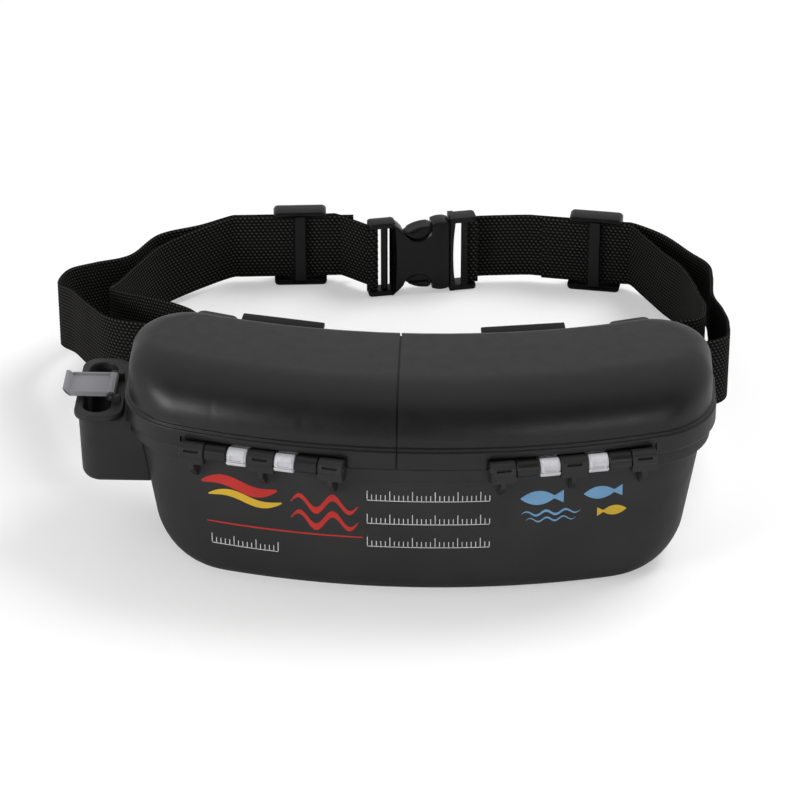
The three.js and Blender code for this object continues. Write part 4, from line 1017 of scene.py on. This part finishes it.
def lock_piece():
    """The lock flap: a plate with raised rims on three sides, a rolled lip at its free end, drawn
    in ZX, and a barrel on its pin."""
    x0 = LOCK_PIVOT_X - LOCK_REACH
    x1 = LOCK_PIVOT_X + LOCK_END
    y0, y1 = LOCK_Y - LOCK_W / 2, LOCK_Y + LOCK_W / 2
    z0, z1 = LOCK_PIVOT_Z - LOCK_T / 2, LOCK_PIVOT_Z + LOCK_T / 2
    flap = plate(x0, x1, y0, y1, LOCK_CORNER, z0, z1, soft=0.3)
    for rim in ((x0, x1, y0, y0 + LOCK_RIM_T), (x0, x1, y1 - LOCK_RIM_T, y1),
                (x1 - LOCK_RIM_T, x1, y0, y1)):
        join(flap, plate(*rim, LOCK_RIM_CORNER, z0 + LOCK_RIM_SUNK, z1 + LOCK_RIM_HEIGHT, soft=0.25))
    tip_z, tip_x = z1 + LOCK_LIP_RISE, x0 - LOCK_LIP_OUT
    lip = rounded([(z0, x0 + LOCK_LIP_IN), (z1, x0 + LOCK_LIP_IN), (tip_z, tip_x),
                   (tip_z, tip_x - LOCK_T), (z0 + LOCK_T / 2, tip_x)], LOCK_LIP_RADII)
    join(flap, prism(lip, y0, y1, "y", soft=0.5), lock_bar(LOCK_BARREL, y0, y1))
    cut(flap, lock_bore())
    return finished(flap, "pliers_lock_flap", GREY, "pliers_lock")


lid_hinges = [front_spot(-HINGE_X), front_spot(HINGE_X)]
tub_piece(lid_hinges)
for word, side, hinge in zip(("left", "right"), (-1, 1), lid_hinges):
    latch_spot = rear_spot(SPLIT_X + side * LATCH_FROM_SPLIT, LATCH_PIVOT_OUT)
    lid_piece(word, side, hinge, latch_spot)
    latch_piece(word, latch_spot)
    cover_piece(word, side, hinge)
    post_piece(word, side)
holder_piece()
lock_piece()


# Belt

WEB_W = 35
WEB_T = 1.5
WEB_REAR_Z = 3.5
WEB_POST_Z = 46.5
LAYER_OUT = (WEB_T + 0.4) / 2
BELT_REACH = 300
BUCKLE_BAR = 1.8
ADJUSTER_LENGTH = 27
ADJUSTER_RUN = 16
ADJUSTER_STRAIGHT = 4.5
ADJUSTER_TAIL = 14
WRAP_STEPS = 5
SPLINE_STEPS = 60
STRAIGHT_SHARES = (0, 0.05, 0.5, 0.95, 1)
SOCKET_BAR_X = -29.0
PLUG_BAR_X = 23.3
BUCKLE_SPOT = (-2.5, 247, math.radians(12.5))
LEFT_ADJUSTER_SPOT = (-68, 254, math.radians(4))
RIGHT_ADJUSTER_SPOT = (84, 252, math.radians(-8))
YARN_PITCH = 2.3
YARN_STEPS = 4
YARN_HEIGHT = 0.2
YARN_POWER = 0.6
CORD_PITCH = WEB_W / 20
CORD_STEPS = 2
WEB_EDGE = 0.8

# Strap routes between the adjusters and the posts: x, y and lift, as shares of the belt's reach
# and of the webbing's climb from the floor to the posts
LEFT_OUTER_SHARES = (
    (-0.393, 0.805, 0), (-0.46, 0.768, 0), (-0.503, 0.676, 0.05), (-0.553, 0.619, 0.16),
    (-0.589, 0.562, 0.28), (-0.597, 0.485, 0.4), (-0.564, 0.405, 0.6), (-0.528, 0.322, 0.74),
    (-0.475, 0.232, 0.9),
)
LEFT_INNER_SHARES = (
    (-0.36, 0.253, 0.95), (-0.4, 0.292, 0.9), (-0.45, 0.35, 0.76), (-0.49, 0.406, 0.6),
    (-0.512, 0.475, 0.38), (-0.508, 0.555, 0.16), (-0.486, 0.65, 0.04), (-0.455, 0.728, 0),
    (-0.405, 0.782, 0),
)
RIGHT_OUTER_SHARES = (
    (0.39, 0.79, 0.02), (0.436, 0.7, 0.1), (0.46, 0.63, 0.22), (0.462, 0.55, 0.36),
    (0.458, 0.45, 0.5), (0.468, 0.36, 0.66), (0.472, 0.27, 0.82), (0.462, 0.2, 0.92),
    (0.41, 0.167, 0.97),
)
RIGHT_INNER_SHARES = (
    (0.37, 0.234, 0.96), (0.424, 0.27, 0.88), (0.44, 0.36, 0.7), (0.436, 0.45, 0.5),
    (0.43, 0.55, 0.3), (0.416, 0.64, 0.16), (0.392, 0.71, 0.06), (0.36, 0.79, 0),
)


def at_spot(spot, u, v, lift):
    """Points in a belt piece's own frame: u along the webbing, v outwards, at a height."""
    x, y, angle = spot
    u, v = np.broadcast_arrays(np.asarray(u, float), np.asarray(v, float))
    return np.column_stack([(x + math.cos(angle) * u - math.sin(angle) * v).ravel(),
                            (y + math.sin(angle) * u + math.cos(angle) * v).ravel(),
                            np.full(u.size, lift)])


def half_turn(side, spot, u, v, radius, lift):
    """Half a circle outwards round a bar, from the webbing's inner face to its outer one."""
    angle = math.pi * (side * -np.arange(WRAP_STEPS + 1) / WRAP_STEPS - 0.5)
    return at_spot(spot, u + radius * np.cos(angle), v + radius * np.sin(angle), lift)


def straight_run(spot, v, start, end, lift):
    return at_spot(spot, start + (end - start) * np.array(STRAIGHT_SHARES), v, lift)


def route_points(shares):
    x, y, lift = np.array(shares).T
    return np.column_stack([x * BELT_REACH, y * BELT_REACH, WEB_REAR_Z + lift * (WEB_POST_Z - WEB_REAR_Z)])


def post_turn(side):
    """The webbing's way to a post, round it and back."""
    spot = rear_spot(side * POST_X)
    radius = POST_T / 2 + RUNNING_GAP + WEB_T / 2
    u, away = -side * (POST_W - POST_T) / 2, side * POST_W / 2
    return np.concatenate([
        straight_run(spot, POST_OUT - radius, away, u, WEB_POST_Z)[:-1],
        half_turn(side, spot, u, POST_OUT, radius, WEB_POST_Z),
        straight_run(spot, POST_OUT + radius, u, away, WEB_POST_Z)[1:],
    ])


def strap_route(side, spot, bar_u, outer, inner):
    """A strap's route: round the buckle's bar, through the adjuster, round the post and back."""
    radius = BUCKLE_BAR + RUNNING_GAP + WEB_T / 2
    straight = ADJUSTER_LENGTH / 2 + ADJUSTER_STRAIGHT
    run_in, run_out = (ADJUSTER_RUN, 0) if side > 0 else (0, ADJUSTER_RUN)
    tail = ADJUSTER_LENGTH / 2 + ADJUSTER_TAIL
    return np.concatenate([
        at_spot(BUCKLE_SPOT, bar_u + side * radius, -radius, WEB_REAR_Z),
        half_turn(side, BUCKLE_SPOT, bar_u, 0, radius, WEB_REAR_Z),
        straight_run(spot, LAYER_OUT, side * (-straight - run_in), side * (straight + run_out), WEB_REAR_Z),
        route_points(outer),
        post_turn(side),
        route_points(inner),
        straight_run(spot, -LAYER_OUT, side * (straight + run_out), side * -tail, WEB_REAR_Z),
    ])


def smooth_route(points, step):
    """A centripetal spline through the points, at even steps along its length. Each stretch is a
    cubic whose end slopes follow from the neighbouring points and the square roots of their
    distances."""
    ends = np.vstack([2 * points[0] - points[1], points, 2 * points[-1] - points[-2]])
    share = np.linspace(0, 1, SPLINE_STEPS, endpoint=False)[:, None]
    rows = []
    for p0, p1, p2, p3 in zip(ends, ends[1:], ends[2:], ends[3:]):
        d0, d1, d2 = (math.sqrt(np.linalg.norm(b - a)) for a, b in ((p0, p1), (p1, p2), (p2, p3)))
        m1 = ((p1 - p0) / d0 - (p2 - p0) / (d0 + d1) + (p2 - p1) / d1) * d1
        m2 = ((p2 - p1) / d1 - (p3 - p1) / (d1 + d2) + (p3 - p2) / d2) * d1
        rows.append(p1 + share * m1 + share ** 2 * (3 * (p2 - p1) - 2 * m1 - m2)
                    + share ** 3 * (2 * (p1 - p2) + m1 + m2))
    fine = np.vstack([*rows, points[-1:]])
    length = np.concatenate([[0], np.cumsum(np.linalg.norm(np.diff(fine, axis=0), axis=1))])
    even = np.linspace(0, length[-1], int(length[-1] / step) + 1)
    return np.column_stack([np.interp(even, length, fine[:, k]) for k in range(3)]), even


def webbing_piece(word, points):
    """Woven webbing along a route. A cross-section of two faces and two round edges is carried
    along it, upright; each face swells where a yarn crosses over: height is a raised cosine along
    the webbing, out of step on every other cord, times a power of the cord's half sine across."""
    centre, along = smooth_route(points, YARN_PITCH / YARN_STEPS)
    slope = np.gradient(centre, axis=0)
    normal = np.column_stack([-slope[:, 1], slope[:, 0]]) / np.hypot(slope[:, 0], slope[:, 1])[:, None]
    cords = round(WEB_W / CORD_PITCH)
    across = np.linspace(0, 1, cords * CORD_STEPS + 1)
    cord = np.minimum((across * cords).astype(int), cords - 1)
    swell = np.abs(np.sin(math.pi * across * cords)) ** YARN_POWER
    wave = np.cos(2 * math.pi * (along[:, None] / YARN_PITCH + 0.5 * (cord[None, :] % 2)))
    edge = np.clip(np.minimum(across, 1 - across) * WEB_W / WEB_EDGE, 0, 1) ** 0.5
    faces, crowns = [], []
    for sign in (1, -1):
        crown = (0.5 + sign * 0.5 * wave) * swell
        depth = sign * edge * (WEB_T / 2 - YARN_HEIGHT + YARN_HEIGHT * crown)
        flat = centre[:, None, :2] + normal[:, None, :] * depth[..., None]
        height = np.broadcast_to(centre[:, None, 2] + WEB_W * across, depth.shape)
        faces.append(np.concatenate([flat, height[..., None]], -1))
        crowns.append(crown)
    rings = np.concatenate([faces[0], faces[1][:, -2:0:-1]], axis=1)
    # The crown heights are also kept on the points, for the webbing's painted light on the crowns and
    # painted shade in the gaps.
    weave_shade = np.concatenate([crowns[0], crowns[1][:, -2:0:-1]], axis=1)
    strap = ring_solid(rings)
    name = f"strap_{word}"
    strap.name = strap.data.name = f"{name}_webbing"
    attribute = strap.data.attributes.new("weave_shade", "FLOAT", "POINT")
    attribute.data.foreach_set("value", weave_shade.astype(np.float32).ravel())
    loops = np.zeros(len(strap.data.loops), np.int32)
    strap.data.loops.foreach_get("vertex_index", loops)
    row, column = np.divmod(loops, rings.shape[1])
    up = np.minimum(column, rings.shape[1] - column) * WEB_W / (rings.shape[1] / 2)
    uv = np.column_stack([along[row], up]) * MM
    strap.data.uv_layers.new(name="along").data.foreach_set("uv", uv.astype(np.float32).ravel())
    strap.data.shade_smooth()
    strap.data.materials.append(WEBBING)
    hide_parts(name)
    return strap


left_strap = webbing_piece("left", strap_route(-1, LEFT_ADJUSTER_SPOT, SOCKET_BAR_X, LEFT_OUTER_SHARES,
                                               LEFT_INNER_SHARES))
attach(left_strap, "box")
right_strap = webbing_piece("right", strap_route(1, RIGHT_ADJUSTER_SPOT, PLUG_BAR_X, RIGHT_OUTER_SHARES,
                                                 RIGHT_INNER_SHARES))
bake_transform(right_strap)


# Belt fittings

BELT_MID_Z = WEB_REAR_Z + WEB_W / 2
WEB_SLOT_HALF = 17.9
BUCKLE_HALF = 20.8
BUCKLE_DEPTH = 5
BUCKLE_BAR_HALF = BUCKLE_HALF - 1
RAIL_DEPTH = 4.2
RAIL_CORNER = 1.9
SOCKET_SKIN = 1.4
SOCKET_END_X = -30.8
SOCKET_RAIL_X = -16.9
SOCKET_MID_BAR = (-24.0, -20.6)
SOCKET_MID_CORNER = 1.2
SOCKET_SHOULDER = (-18.9, 20.8)
SOCKET_NECK = (-12.2, 14)
SOCKET_NECK_BEND = (-14.3, 17.4)
SOCKET_BAND = (1.2, 17.9)
SOCKET_BULGE = (6.4, 20.6)
SOCKET_MOUTH = (11, 18.4)
SOCKET_CAVITY = 16.3
SOCKET_SLOT_X = -25
SOCKET_SLOT_BOW = (-17.3, -15.9)
WINDOW_X = -5.6
WINDOW_UP = 17.3
WINDOW_R = 7.7
WINDOW_FLARE = 1.6
WINDOW_FLARE_AT = (1, 0.6)
PLUG_X = 11.3
PLUG_BASE_T = 1.4
PLUG_SLOT_W = 8.8
PLUG_SLOT_BOW = (1.4, -0.8)
PLUG_GRIP = (17, 20.6)
PLUG_GRIP_T = 1.2
PLUG_GRIP_CORNER = 0.5
PLUG_GRIP_IN = 1.4
PLUG_TONGUE_X = -5.7
PLUG_TONGUE_HALF = 4
PLUG_TONGUE_CORNER = 1.2
GRIP_PITCH = 1.6
GRIP_HEIGHT = 0.16
GRIP_STEPS = 240
PRONG_DEPTH = 3.3
PRONG_ROOT = (11, 12, 16)
PRONG_HEAD_X = 1.3
PRONG_CROWN_X = 0.3
PRONG_HEEL_X = 3.3
PRONG_HEEL_W = 1
PRONG_HEAD = (9, 17.4)
PRONG_BULGE = 0.5
PRONG_TIP = (-12.1, 13.4)
PRONG_BEND_X = -6.7
PRONG_CROWN = 4.5
PRONG_CROWN_FROM = 13.9
PRONG_SWING = math.radians(8)
PRONG_CLEAR = 0.35
ADJUSTER_DEPTH = 5
ADJUSTER_RAIL = 3.0
ADJUSTER_RAIL_CORNER = 2.6
ADJUSTER_BAR = 3
ADJUSTER_BAR_CORNER = 0.9
ADJUSTER_SIDE = 3.6
ADJUSTER_CLEAR = 2.0


def rails(profile):
    """The two rails of a buckle half, above and below the webbing, drawn in ZX."""
    return [prism(profile, *mirrored(up, WEB_SLOT_HALF, BUCKLE_HALF), "y", soft=0.8) for up in (1, -1)]


def buckle_bar(x):
    return bar(BUCKLE_BAR, -BUCKLE_BAR_HALF, BUCKLE_BAR_HALF, 0, x, "y")


def buckle_piece(obj, name, node, body=None):
    """A part of the buckle that was drawn flat, stood up at the buckle's spot."""
    return finished(placed(stood_up(obj), BUCKLE_SPOT, BELT_MID_Z), name, BUCKLE_BLACK, node, body)


def buckle_socket_piece():
    """The buckle's socket: shoulders draw in by a parabola to a neck, the band at the mouth bulges
    by another, a round flared window lies over each prong head, and a rounded frame with two bars
    holds the webbing."""
    deep, inner = BUCKLE_DEPTH, BUCKLE_DEPTH - SOCKET_SKIN
    top = np.concatenate([
        [SOCKET_MOUTH], curve(SOCKET_MOUTH, SOCKET_BULGE, SOCKET_BAND)[1:],
        curve(SOCKET_NECK, SOCKET_NECK_BEND, SOCKET_SHOULDER),
    ])
    case = prism(np.concatenate([top, (top * [1, -1])[::-1]]), -deep, deep, soft=0.9)
    side_x, middle_x = SOCKET_SLOT_BOW
    bowed = curve((side_x, -WEB_SLOT_HALF), (middle_x, 0), (side_x, WEB_SLOT_HALF))
    slot = [(SOCKET_SLOT_X, -WEB_SLOT_HALF), *bowed, (SOCKET_SLOT_X, WEB_SLOT_HALF)]
    cavity = block(SOCKET_NECK[0], SOCKET_MOUTH[0] + OVERRUN, -SOCKET_CAVITY, SOCKET_CAVITY, -inner, inner)
    cut(case, cavity, prism(slot, -deep - OVERRUN, deep + OVERRUN))
    out, into = WINDOW_FLARE_AT
    flare = [(-deep - out, WINDOW_R + WINDOW_FLARE), (-deep + into, WINDOW_R),
             (deep - into, WINDOW_R), (deep + out, WINDOW_R + WINDOW_FLARE)]
    cut(case, *[turned(flare, WINDOW_X, up, "z", WINDOW_SIDES) for up in (-WINDOW_UP, WINDOW_UP)])
    join(case, *rails(rounded_box(-RAIL_DEPTH, RAIL_DEPTH, SOCKET_END_X, SOCKET_RAIL_X, RAIL_CORNER)),
         buckle_bar(SOCKET_END_X + BUCKLE_BAR),
         plate(-BUCKLE_BAR, BUCKLE_BAR, *SOCKET_MID_BAR, SOCKET_MID_CORNER, -BUCKLE_BAR_HALF,
               BUCKLE_BAR_HALF, "y"))
    return buckle_piece(case, "buckle_socket_case", "buckle_socket", "box")


def ribbed_grip(low, high, z):
    """The grip bar: an upright strip, drawn in ZX, whose front face swells by a cosine along it."""
    x0, x1 = PLUG_GRIP
    side = PLUG_GRIP_T - PLUG_GRIP_CORNER
    section = counter_clockwise([(0, x0), (0, x1), (side, x1), (PLUG_GRIP_T, x1 - PLUG_GRIP_CORNER),
                                 (PLUG_GRIP_T, x0 + PLUG_GRIP_CORNER), (side, x0)])
    front = np.column_stack([section[:, 0] == PLUG_GRIP_T, np.zeros(len(section))])
    along = np.linspace(low, high, GRIP_STEPS)
    swell = GRIP_HEIGHT * np.cos(2 * math.pi * along / GRIP_PITCH)
    return ring_solid([ring_at("y", section + (z, 0) + rise * front, place)
                       for place, rise in zip(along, swell)])


def buckle_plug_piece():
    """The buckle's plug: a base with a guide tongue, rounded rails, the ribbed grip bar before the
    webbing, and the bar that the webbing turns round."""
    deep, half, slot_half = BUCKLE_DEPTH, BUCKLE_HALF, WEB_SLOT_HALF
    slot_x = PLUG_X + PLUG_BASE_T
    bar_x = slot_x + PLUG_SLOT_W + BUCKLE_BAR
    side_x, middle_x = (slot_x + bow for bow in PLUG_SLOT_BOW)
    inner = curve((side_x, -slot_half), (middle_x, 0), (side_x, slot_half))
    plug = prism([(PLUG_X, half), (PLUG_X, -half), (side_x, -half), *inner, (side_x, half)],
                 -deep, deep, soft=0.5)
    tongue_half, corner = PLUG_TONGUE_HALF, PLUG_TONGUE_CORNER
    guide = rounded([(PLUG_TONGUE_X, -tongue_half), (slot_x, -tongue_half), (slot_x, tongue_half),
                     (PLUG_TONGUE_X, tongue_half)], [corner, 0, 0, corner])
    join(plug, *rails(rounded_box(-RAIL_DEPTH, deep, PLUG_X, bar_x + BUCKLE_BAR, RAIL_CORNER)),
         ribbed_grip(-half + PLUG_GRIP_IN, half - PLUG_GRIP_IN, deep - PLUG_GRIP_T), buckle_bar(bar_x),
         prism(guide, -PRONG_DEPTH, PRONG_DEPTH, soft=0.4))
    return buckle_piece(plug, "buckle_plug_frame", "buckle_plug")


def prong_piece(word, up):
    """A prong: a springy arm with a leaf-shaped head between two parabolas, crowned along its
    outer edge where it stays inside the window, at rest and with the prong pressed."""
    root_x, low, high = PRONG_ROOT
    foot, top = PRONG_HEAD
    middle = (low + high) / 2
    upper = curve((PRONG_HEAD_X, top), (PRONG_BEND_X, top + PRONG_BULGE), PRONG_TIP)
    lower = curve(PRONG_TIP, (PRONG_BEND_X, foot), (PRONG_HEAD_X, foot))
    leaf = np.concatenate([[(root_x, low), (root_x, high), (PRONG_HEAD_X, high)], upper, lower[1:],
                           [(PRONG_HEEL_X, foot), (PRONG_HEEL_X + PRONG_HEEL_W, low)]])
    crest = upper[(upper[:, 1] > PRONG_CROWN_FROM) & (upper[:, 0] < PRONG_CROWN_X)]
    crown = np.concatenate([[(PRONG_CROWN_X, PRONG_CROWN_FROM), (PRONG_CROWN_X, top)], crest])
    raised = prism(crown * [1, up], -PRONG_CROWN, PRONG_CROWN, soft=0.8)
    to_x, to_up = WINDOW_X - root_x, WINDOW_UP - middle
    for angle in (0, -PRONG_SWING):
        c, s = math.cos(angle), math.sin(angle)
        meet(raised, bar(WINDOW_R - PRONG_CLEAR, -BUCKLE_DEPTH * 2, BUCKLE_DEPTH * 2,
                         root_x + to_x * c - to_up * s, up * (middle + to_x * s + to_up * c), "z",
                         WINDOW_SIDES))
    prong = join(prism(leaf * [1, up], -PRONG_DEPTH, PRONG_DEPTH, soft=0.35), raised)
    return buckle_piece(prong, f"buckle_prong_{word}_leaf", f"buckle_prong_{word}")


def adjuster_piece(word, spot):
    """A slide adjuster: two rails with large round outer corners, side bars behind the webbing and
    a flat middle bar before it."""
    half, deep, high = ADJUSTER_LENGTH / 2, ADJUSTER_DEPTH, WEB_SLOT_HALF + ADJUSTER_RAIL
    reach = high - ADJUSTER_RAIL / 2
    adjuster = plate(-ADJUSTER_BAR, ADJUSTER_BAR, -deep, -ADJUSTER_CLEAR, ADJUSTER_BAR_CORNER,
                     -reach, reach)
    for x0 in (-half, half - ADJUSTER_SIDE):
        join(adjuster, plate(x0, x0 + ADJUSTER_SIDE, ADJUSTER_CLEAR, deep, ADJUSTER_BAR_CORNER,
                             -reach, reach))
    for up in (-1, 1):
        rail = rounded([(up * WEB_SLOT_HALF, -half), (up * WEB_SLOT_HALF, half), (up * high, half),
                        (up * high, -half)], [0, 0, ADJUSTER_RAIL_CORNER, ADJUSTER_RAIL_CORNER], 10)
        join(adjuster, prism(rail, -deep, deep, "y", soft=0.8))
    return finished(placed(adjuster, spot, BELT_MID_Z), f"adjuster_{word}_slide", BUCKLE_BLACK,
                    f"adjuster_{word}")


buckle_socket_piece()
buckle_plug_piece()
prong_piece("top", 1)
prong_piece("bottom", -1)
adjuster_piece("left", LEFT_ADJUSTER_SPOT)
adjuster_piece("right", RIGHT_ADJUSTER_SPOT)


# Print on the front wall

FILM_HALF = 0.05
FILM_STEP = 0.8
FISH_STEPS = 41
FISH_BODY_SHARES = (0.19, 0.82)
FISH_TAIL_SHARES = (0.17, 0.72)
FISH_LEAST_SHARE = 0.008
MARK_PITCH = 2.0
MARK_HALF = 0.16
MARK_HEIGHTS = (4.6, 2.6, 2.6, 2.6, 2.6)
LINE_BELOW = (0.5, 0.2)
LINE_STEPS = 60

# Stripes: x from and to, height, thickness, swing, waves, and the power that shapes the ends
RED_STRIPES = (
    (-96, -62, 50.5, 5.8, 2.2, 1, 0.5), (-56, -26, 46, 3.6, 3.6, 2, 0.5),
    (-56, -26, 37.5, 3.6, 3.6, 2, 0.5), (-94, -24, 30, 0.8, 0, 1, 0.1),
)
YELLOW_STRIPES = ((-93, -60, 44.3, 4.0, 2.0, 1, 0.5),)
BLUE_STRIPES = ((46, 72, 42, 1.3, 1.1, 3, 0.5), (48, 70, 38.6, 0.9, 1.0, 3, 0.5))
# Fish: middle, height, length, and the side that the tail is on
YELLOW_FISH = ((86, 40, 13, -1),)
BLUE_FISH = ((55, 50, 19, 1), (82, 50, 17, 1))
# Measuring scales: first mark, number of marks, and height
SCALES = ((-22, 28, 50), (-22, 28, 38), (-22, 28, 26), (-92, 16, 19))


def on_front_wall(x, z, out):
    """Points at x and height z on the tub's front wall: y follows an arc whose radius shrinks with
    the wall's lean, plus a distance out."""
    foot, head = WALLS_IN[0]
    radius = FRONT_ARC - foot - (head - foot) * z / LEDGE_Z + out
    return np.stack([x, CENTRE_Y - np.sqrt(radius ** 2 - x ** 2), z], -1)


def film(x, low, high):
    """A thin film on the front wall between a lower and an upper edge, given along x."""
    edges = ((low, -FILM_HALF), (high, -FILM_HALF), (high, FILM_HALF), (low, FILM_HALF))
    return ring_solid(np.stack([on_front_wall(x, z, out) for z, out in edges], axis=1))


def stripe(x0, x1, z, thick, swing, waves, power):
    """A stripe along x: its middle swings by a sine about z, and its thickness is a half sine to a
    power, so that both ends come to a point."""
    share = np.linspace(0, 1, max(int((x1 - x0) / FILM_STEP), 2) + 1)
    middle = z + swing * np.sin(2 * math.pi * waves * share)
    body = thick / 2 * np.clip(np.sin(math.pi * share), 0.02, 1) ** power
    return film(x0 + (x1 - x0) * share, middle - body, middle + body)


def fish(x, z, length, tail_side):
    """A plain fish seen from the side: half its height is a half sine along the body, and grows
    again in a straight line to the tail's edge."""
    share = np.linspace(0, 1, FISH_STEPS)
    tall, body_end = FISH_BODY_SHARES
    tail_tall, tail_from = FISH_TAIL_SHARES
    body = tall * np.sin(math.pi * np.clip(share / body_end, 0, 1)) ** 0.8
    tail = tail_tall * np.clip((share - tail_from) / (1 - tail_from), 0, 1)
    half = length * np.maximum(np.maximum(body, tail), FISH_LEAST_SHARE)
    along = x + tail_side * length * (share - 0.5)
    order = np.argsort(along)
    return film(along[order], z - half[order], z + half[order])


def scale_marks(x0, count, z):
    """A measuring scale: upright marks, the first of each five longer, on a thin line."""
    marks = x0 + MARK_PITCH * np.arange(count)
    line = np.linspace(marks[0], marks[-1], LINE_STEPS)
    low, high = (np.full(LINE_STEPS, z - below) for below in LINE_BELOW)
    return [*[film(np.array([x - MARK_HALF, x + MARK_HALF]), np.full(2, z), np.full(2, z + height))
              for x, height in zip(marks, itertools.cycle(MARK_HEIGHTS))], film(line, low, high)]


def printed(name, colour, films):
    return finished(gathered(films), name, colour, body="box")


printed("print_red", RED_INK, [stripe(*row) for row in RED_STRIPES])
printed("print_yellow", YELLOW_INK, [*[stripe(*row) for row in YELLOW_STRIPES],
                                     *[fish(*row) for row in YELLOW_FISH]])
printed("print_white", WHITE_INK, [mark for row in SCALES for mark in scale_marks(*row)])
printed("print_blue", BLUE_INK, [*[fish(*row) for row in BLUE_FISH],
                                 *[stripe(*row) for row in BLUE_STRIPES]])


# Carried-over solids, dressed in the first material of their slot

NODE_FINISH = {slot: material for material, slot in reversed(SLOTS.items())}
for entry in frame["record"]["subparts"]:
    for material_slot in frame["nodes"][entry["node"]].material_slots:
        material_slot.material = NODE_FINISH[entry["material_slot"]]


# Studio. Lamps and camera are placed in metres

SKY_DIM = 0.085
SKY_GLOW = 0.62
SKY_DIM_FROM = -0.36
SKY_GLOW_FROM = -0.06
FLOOR_HALF = 6000
FLOOR_GREY = (0.66, 0.66, 0.66)
FLOOR_LIFT = 0.38
# Place, aim, width and height, power, and whether it shows in gloss
LAMPS = {
    "key": ((0.9, 0.75, 1.6), (0, 0.05, 0), (1.0, 1.0), 22, False),
    "left": ((-1.1, -0.75, 0.5), (-0.1, -0.02, 0.08), (0.55, 0.35), 7.5, True),
    "right": ((0.7, -1.2, 0.45), (0.08, 0, 0.08), (0.5, 0.3), 2.2, True),
    "fill": ((0.1, -1.9, 0.8), (0, 0, 0.05), (1.8, 1.0), 13, False),
}
CAMERA_PLACE = (0.0331, -1.3797, 0.8731)
CAMERA_TILT = math.radians(60)
CAMERA_TURN = math.radians(1.74)
CAMERA_LENS = 160.65
SENSOR_WIDTH = 36.0


def area_lamp(name, place, aim, size, power, glossy):
    data = bpy.data.lights.new(name, "AREA")
    data.shape = "RECTANGLE"
    data.size, data.size_y = size
    data.energy = power
    lamp = bpy.data.objects.new(name, data)
    lamp.location = place
    away = np.array(aim) - np.array(place)
    lamp.rotation_euler = (math.atan2(math.hypot(away[0], away[1]), -away[2]), 0,
                           math.atan2(away[1], away[0]) - math.pi / 2)
    lamp.visible_glossy = glossy
    bpy.context.scene.collection.objects.link(lamp)


def surround():
    """A soft surround: a pale glow from behind up to just past the zenith, dimmer in front."""
    world = bpy.data.worlds.new("studio")
    world.use_nodes = True
    bpy.context.scene.world = world
    tree = world.node_tree
    parts = tree.nodes.new("ShaderNodeSeparateXYZ")
    feed(tree, parts, {"Vector": added(tree, "TexCoord", "Generated", {})})
    level = added(tree, "MapRange", "Result", {
        "Value": parts.outputs["Y"], "From Min": SKY_DIM_FROM, "From Max": SKY_GLOW_FROM,
        "To Min": SKY_DIM, "To Max": SKY_GLOW}, interpolation_type="SMOOTHSTEP")
    feed(tree, tree.nodes["Background"], {"Color": (1, 1, 1, 1), "Strength": level})


def pale_floor():
    """A pale floor that the camera sees a little brighter."""
    paper, tree, shader = node_material("floor_paper", FLOOR_GREY, 0.9, 0.1)
    seen = added(tree, "LightPath", "Is Camera Ray", {})
    lift = added(tree, "Math", "Value", {0: seen, 1: FLOOR_LIFT}, operation="MULTIPLY")
    feed(tree, shader, {"Emission Color": (1, 1, 1, 1), "Emission Strength": lift})
    s = FLOOR_HALF
    floor = new_object("floor", [(-s, -s, 0), (s, -s, 0), (s, s, 0), (-s, s, 0)], [(0, 1, 2, 3)])
    floor.data.materials.append(paper)


def photo_camera():
    data = bpy.data.cameras.new("camera")
    data.lens = CAMERA_LENS
    data.sensor_width = SENSOR_WIDTH
    camera = bpy.data.objects.new("camera", data)
    camera.location = CAMERA_PLACE
    camera.rotation_euler = (CAMERA_TILT, 0, CAMERA_TURN)
    bpy.context.scene.collection.objects.link(camera)
    bpy.context.scene.camera = camera


pale_floor()
surround()
for name, settings in LAMPS.items():
    area_lamp(name, *settings)
bpy.context.scene.view_settings.view_transform = "Standard"
photo_camera()
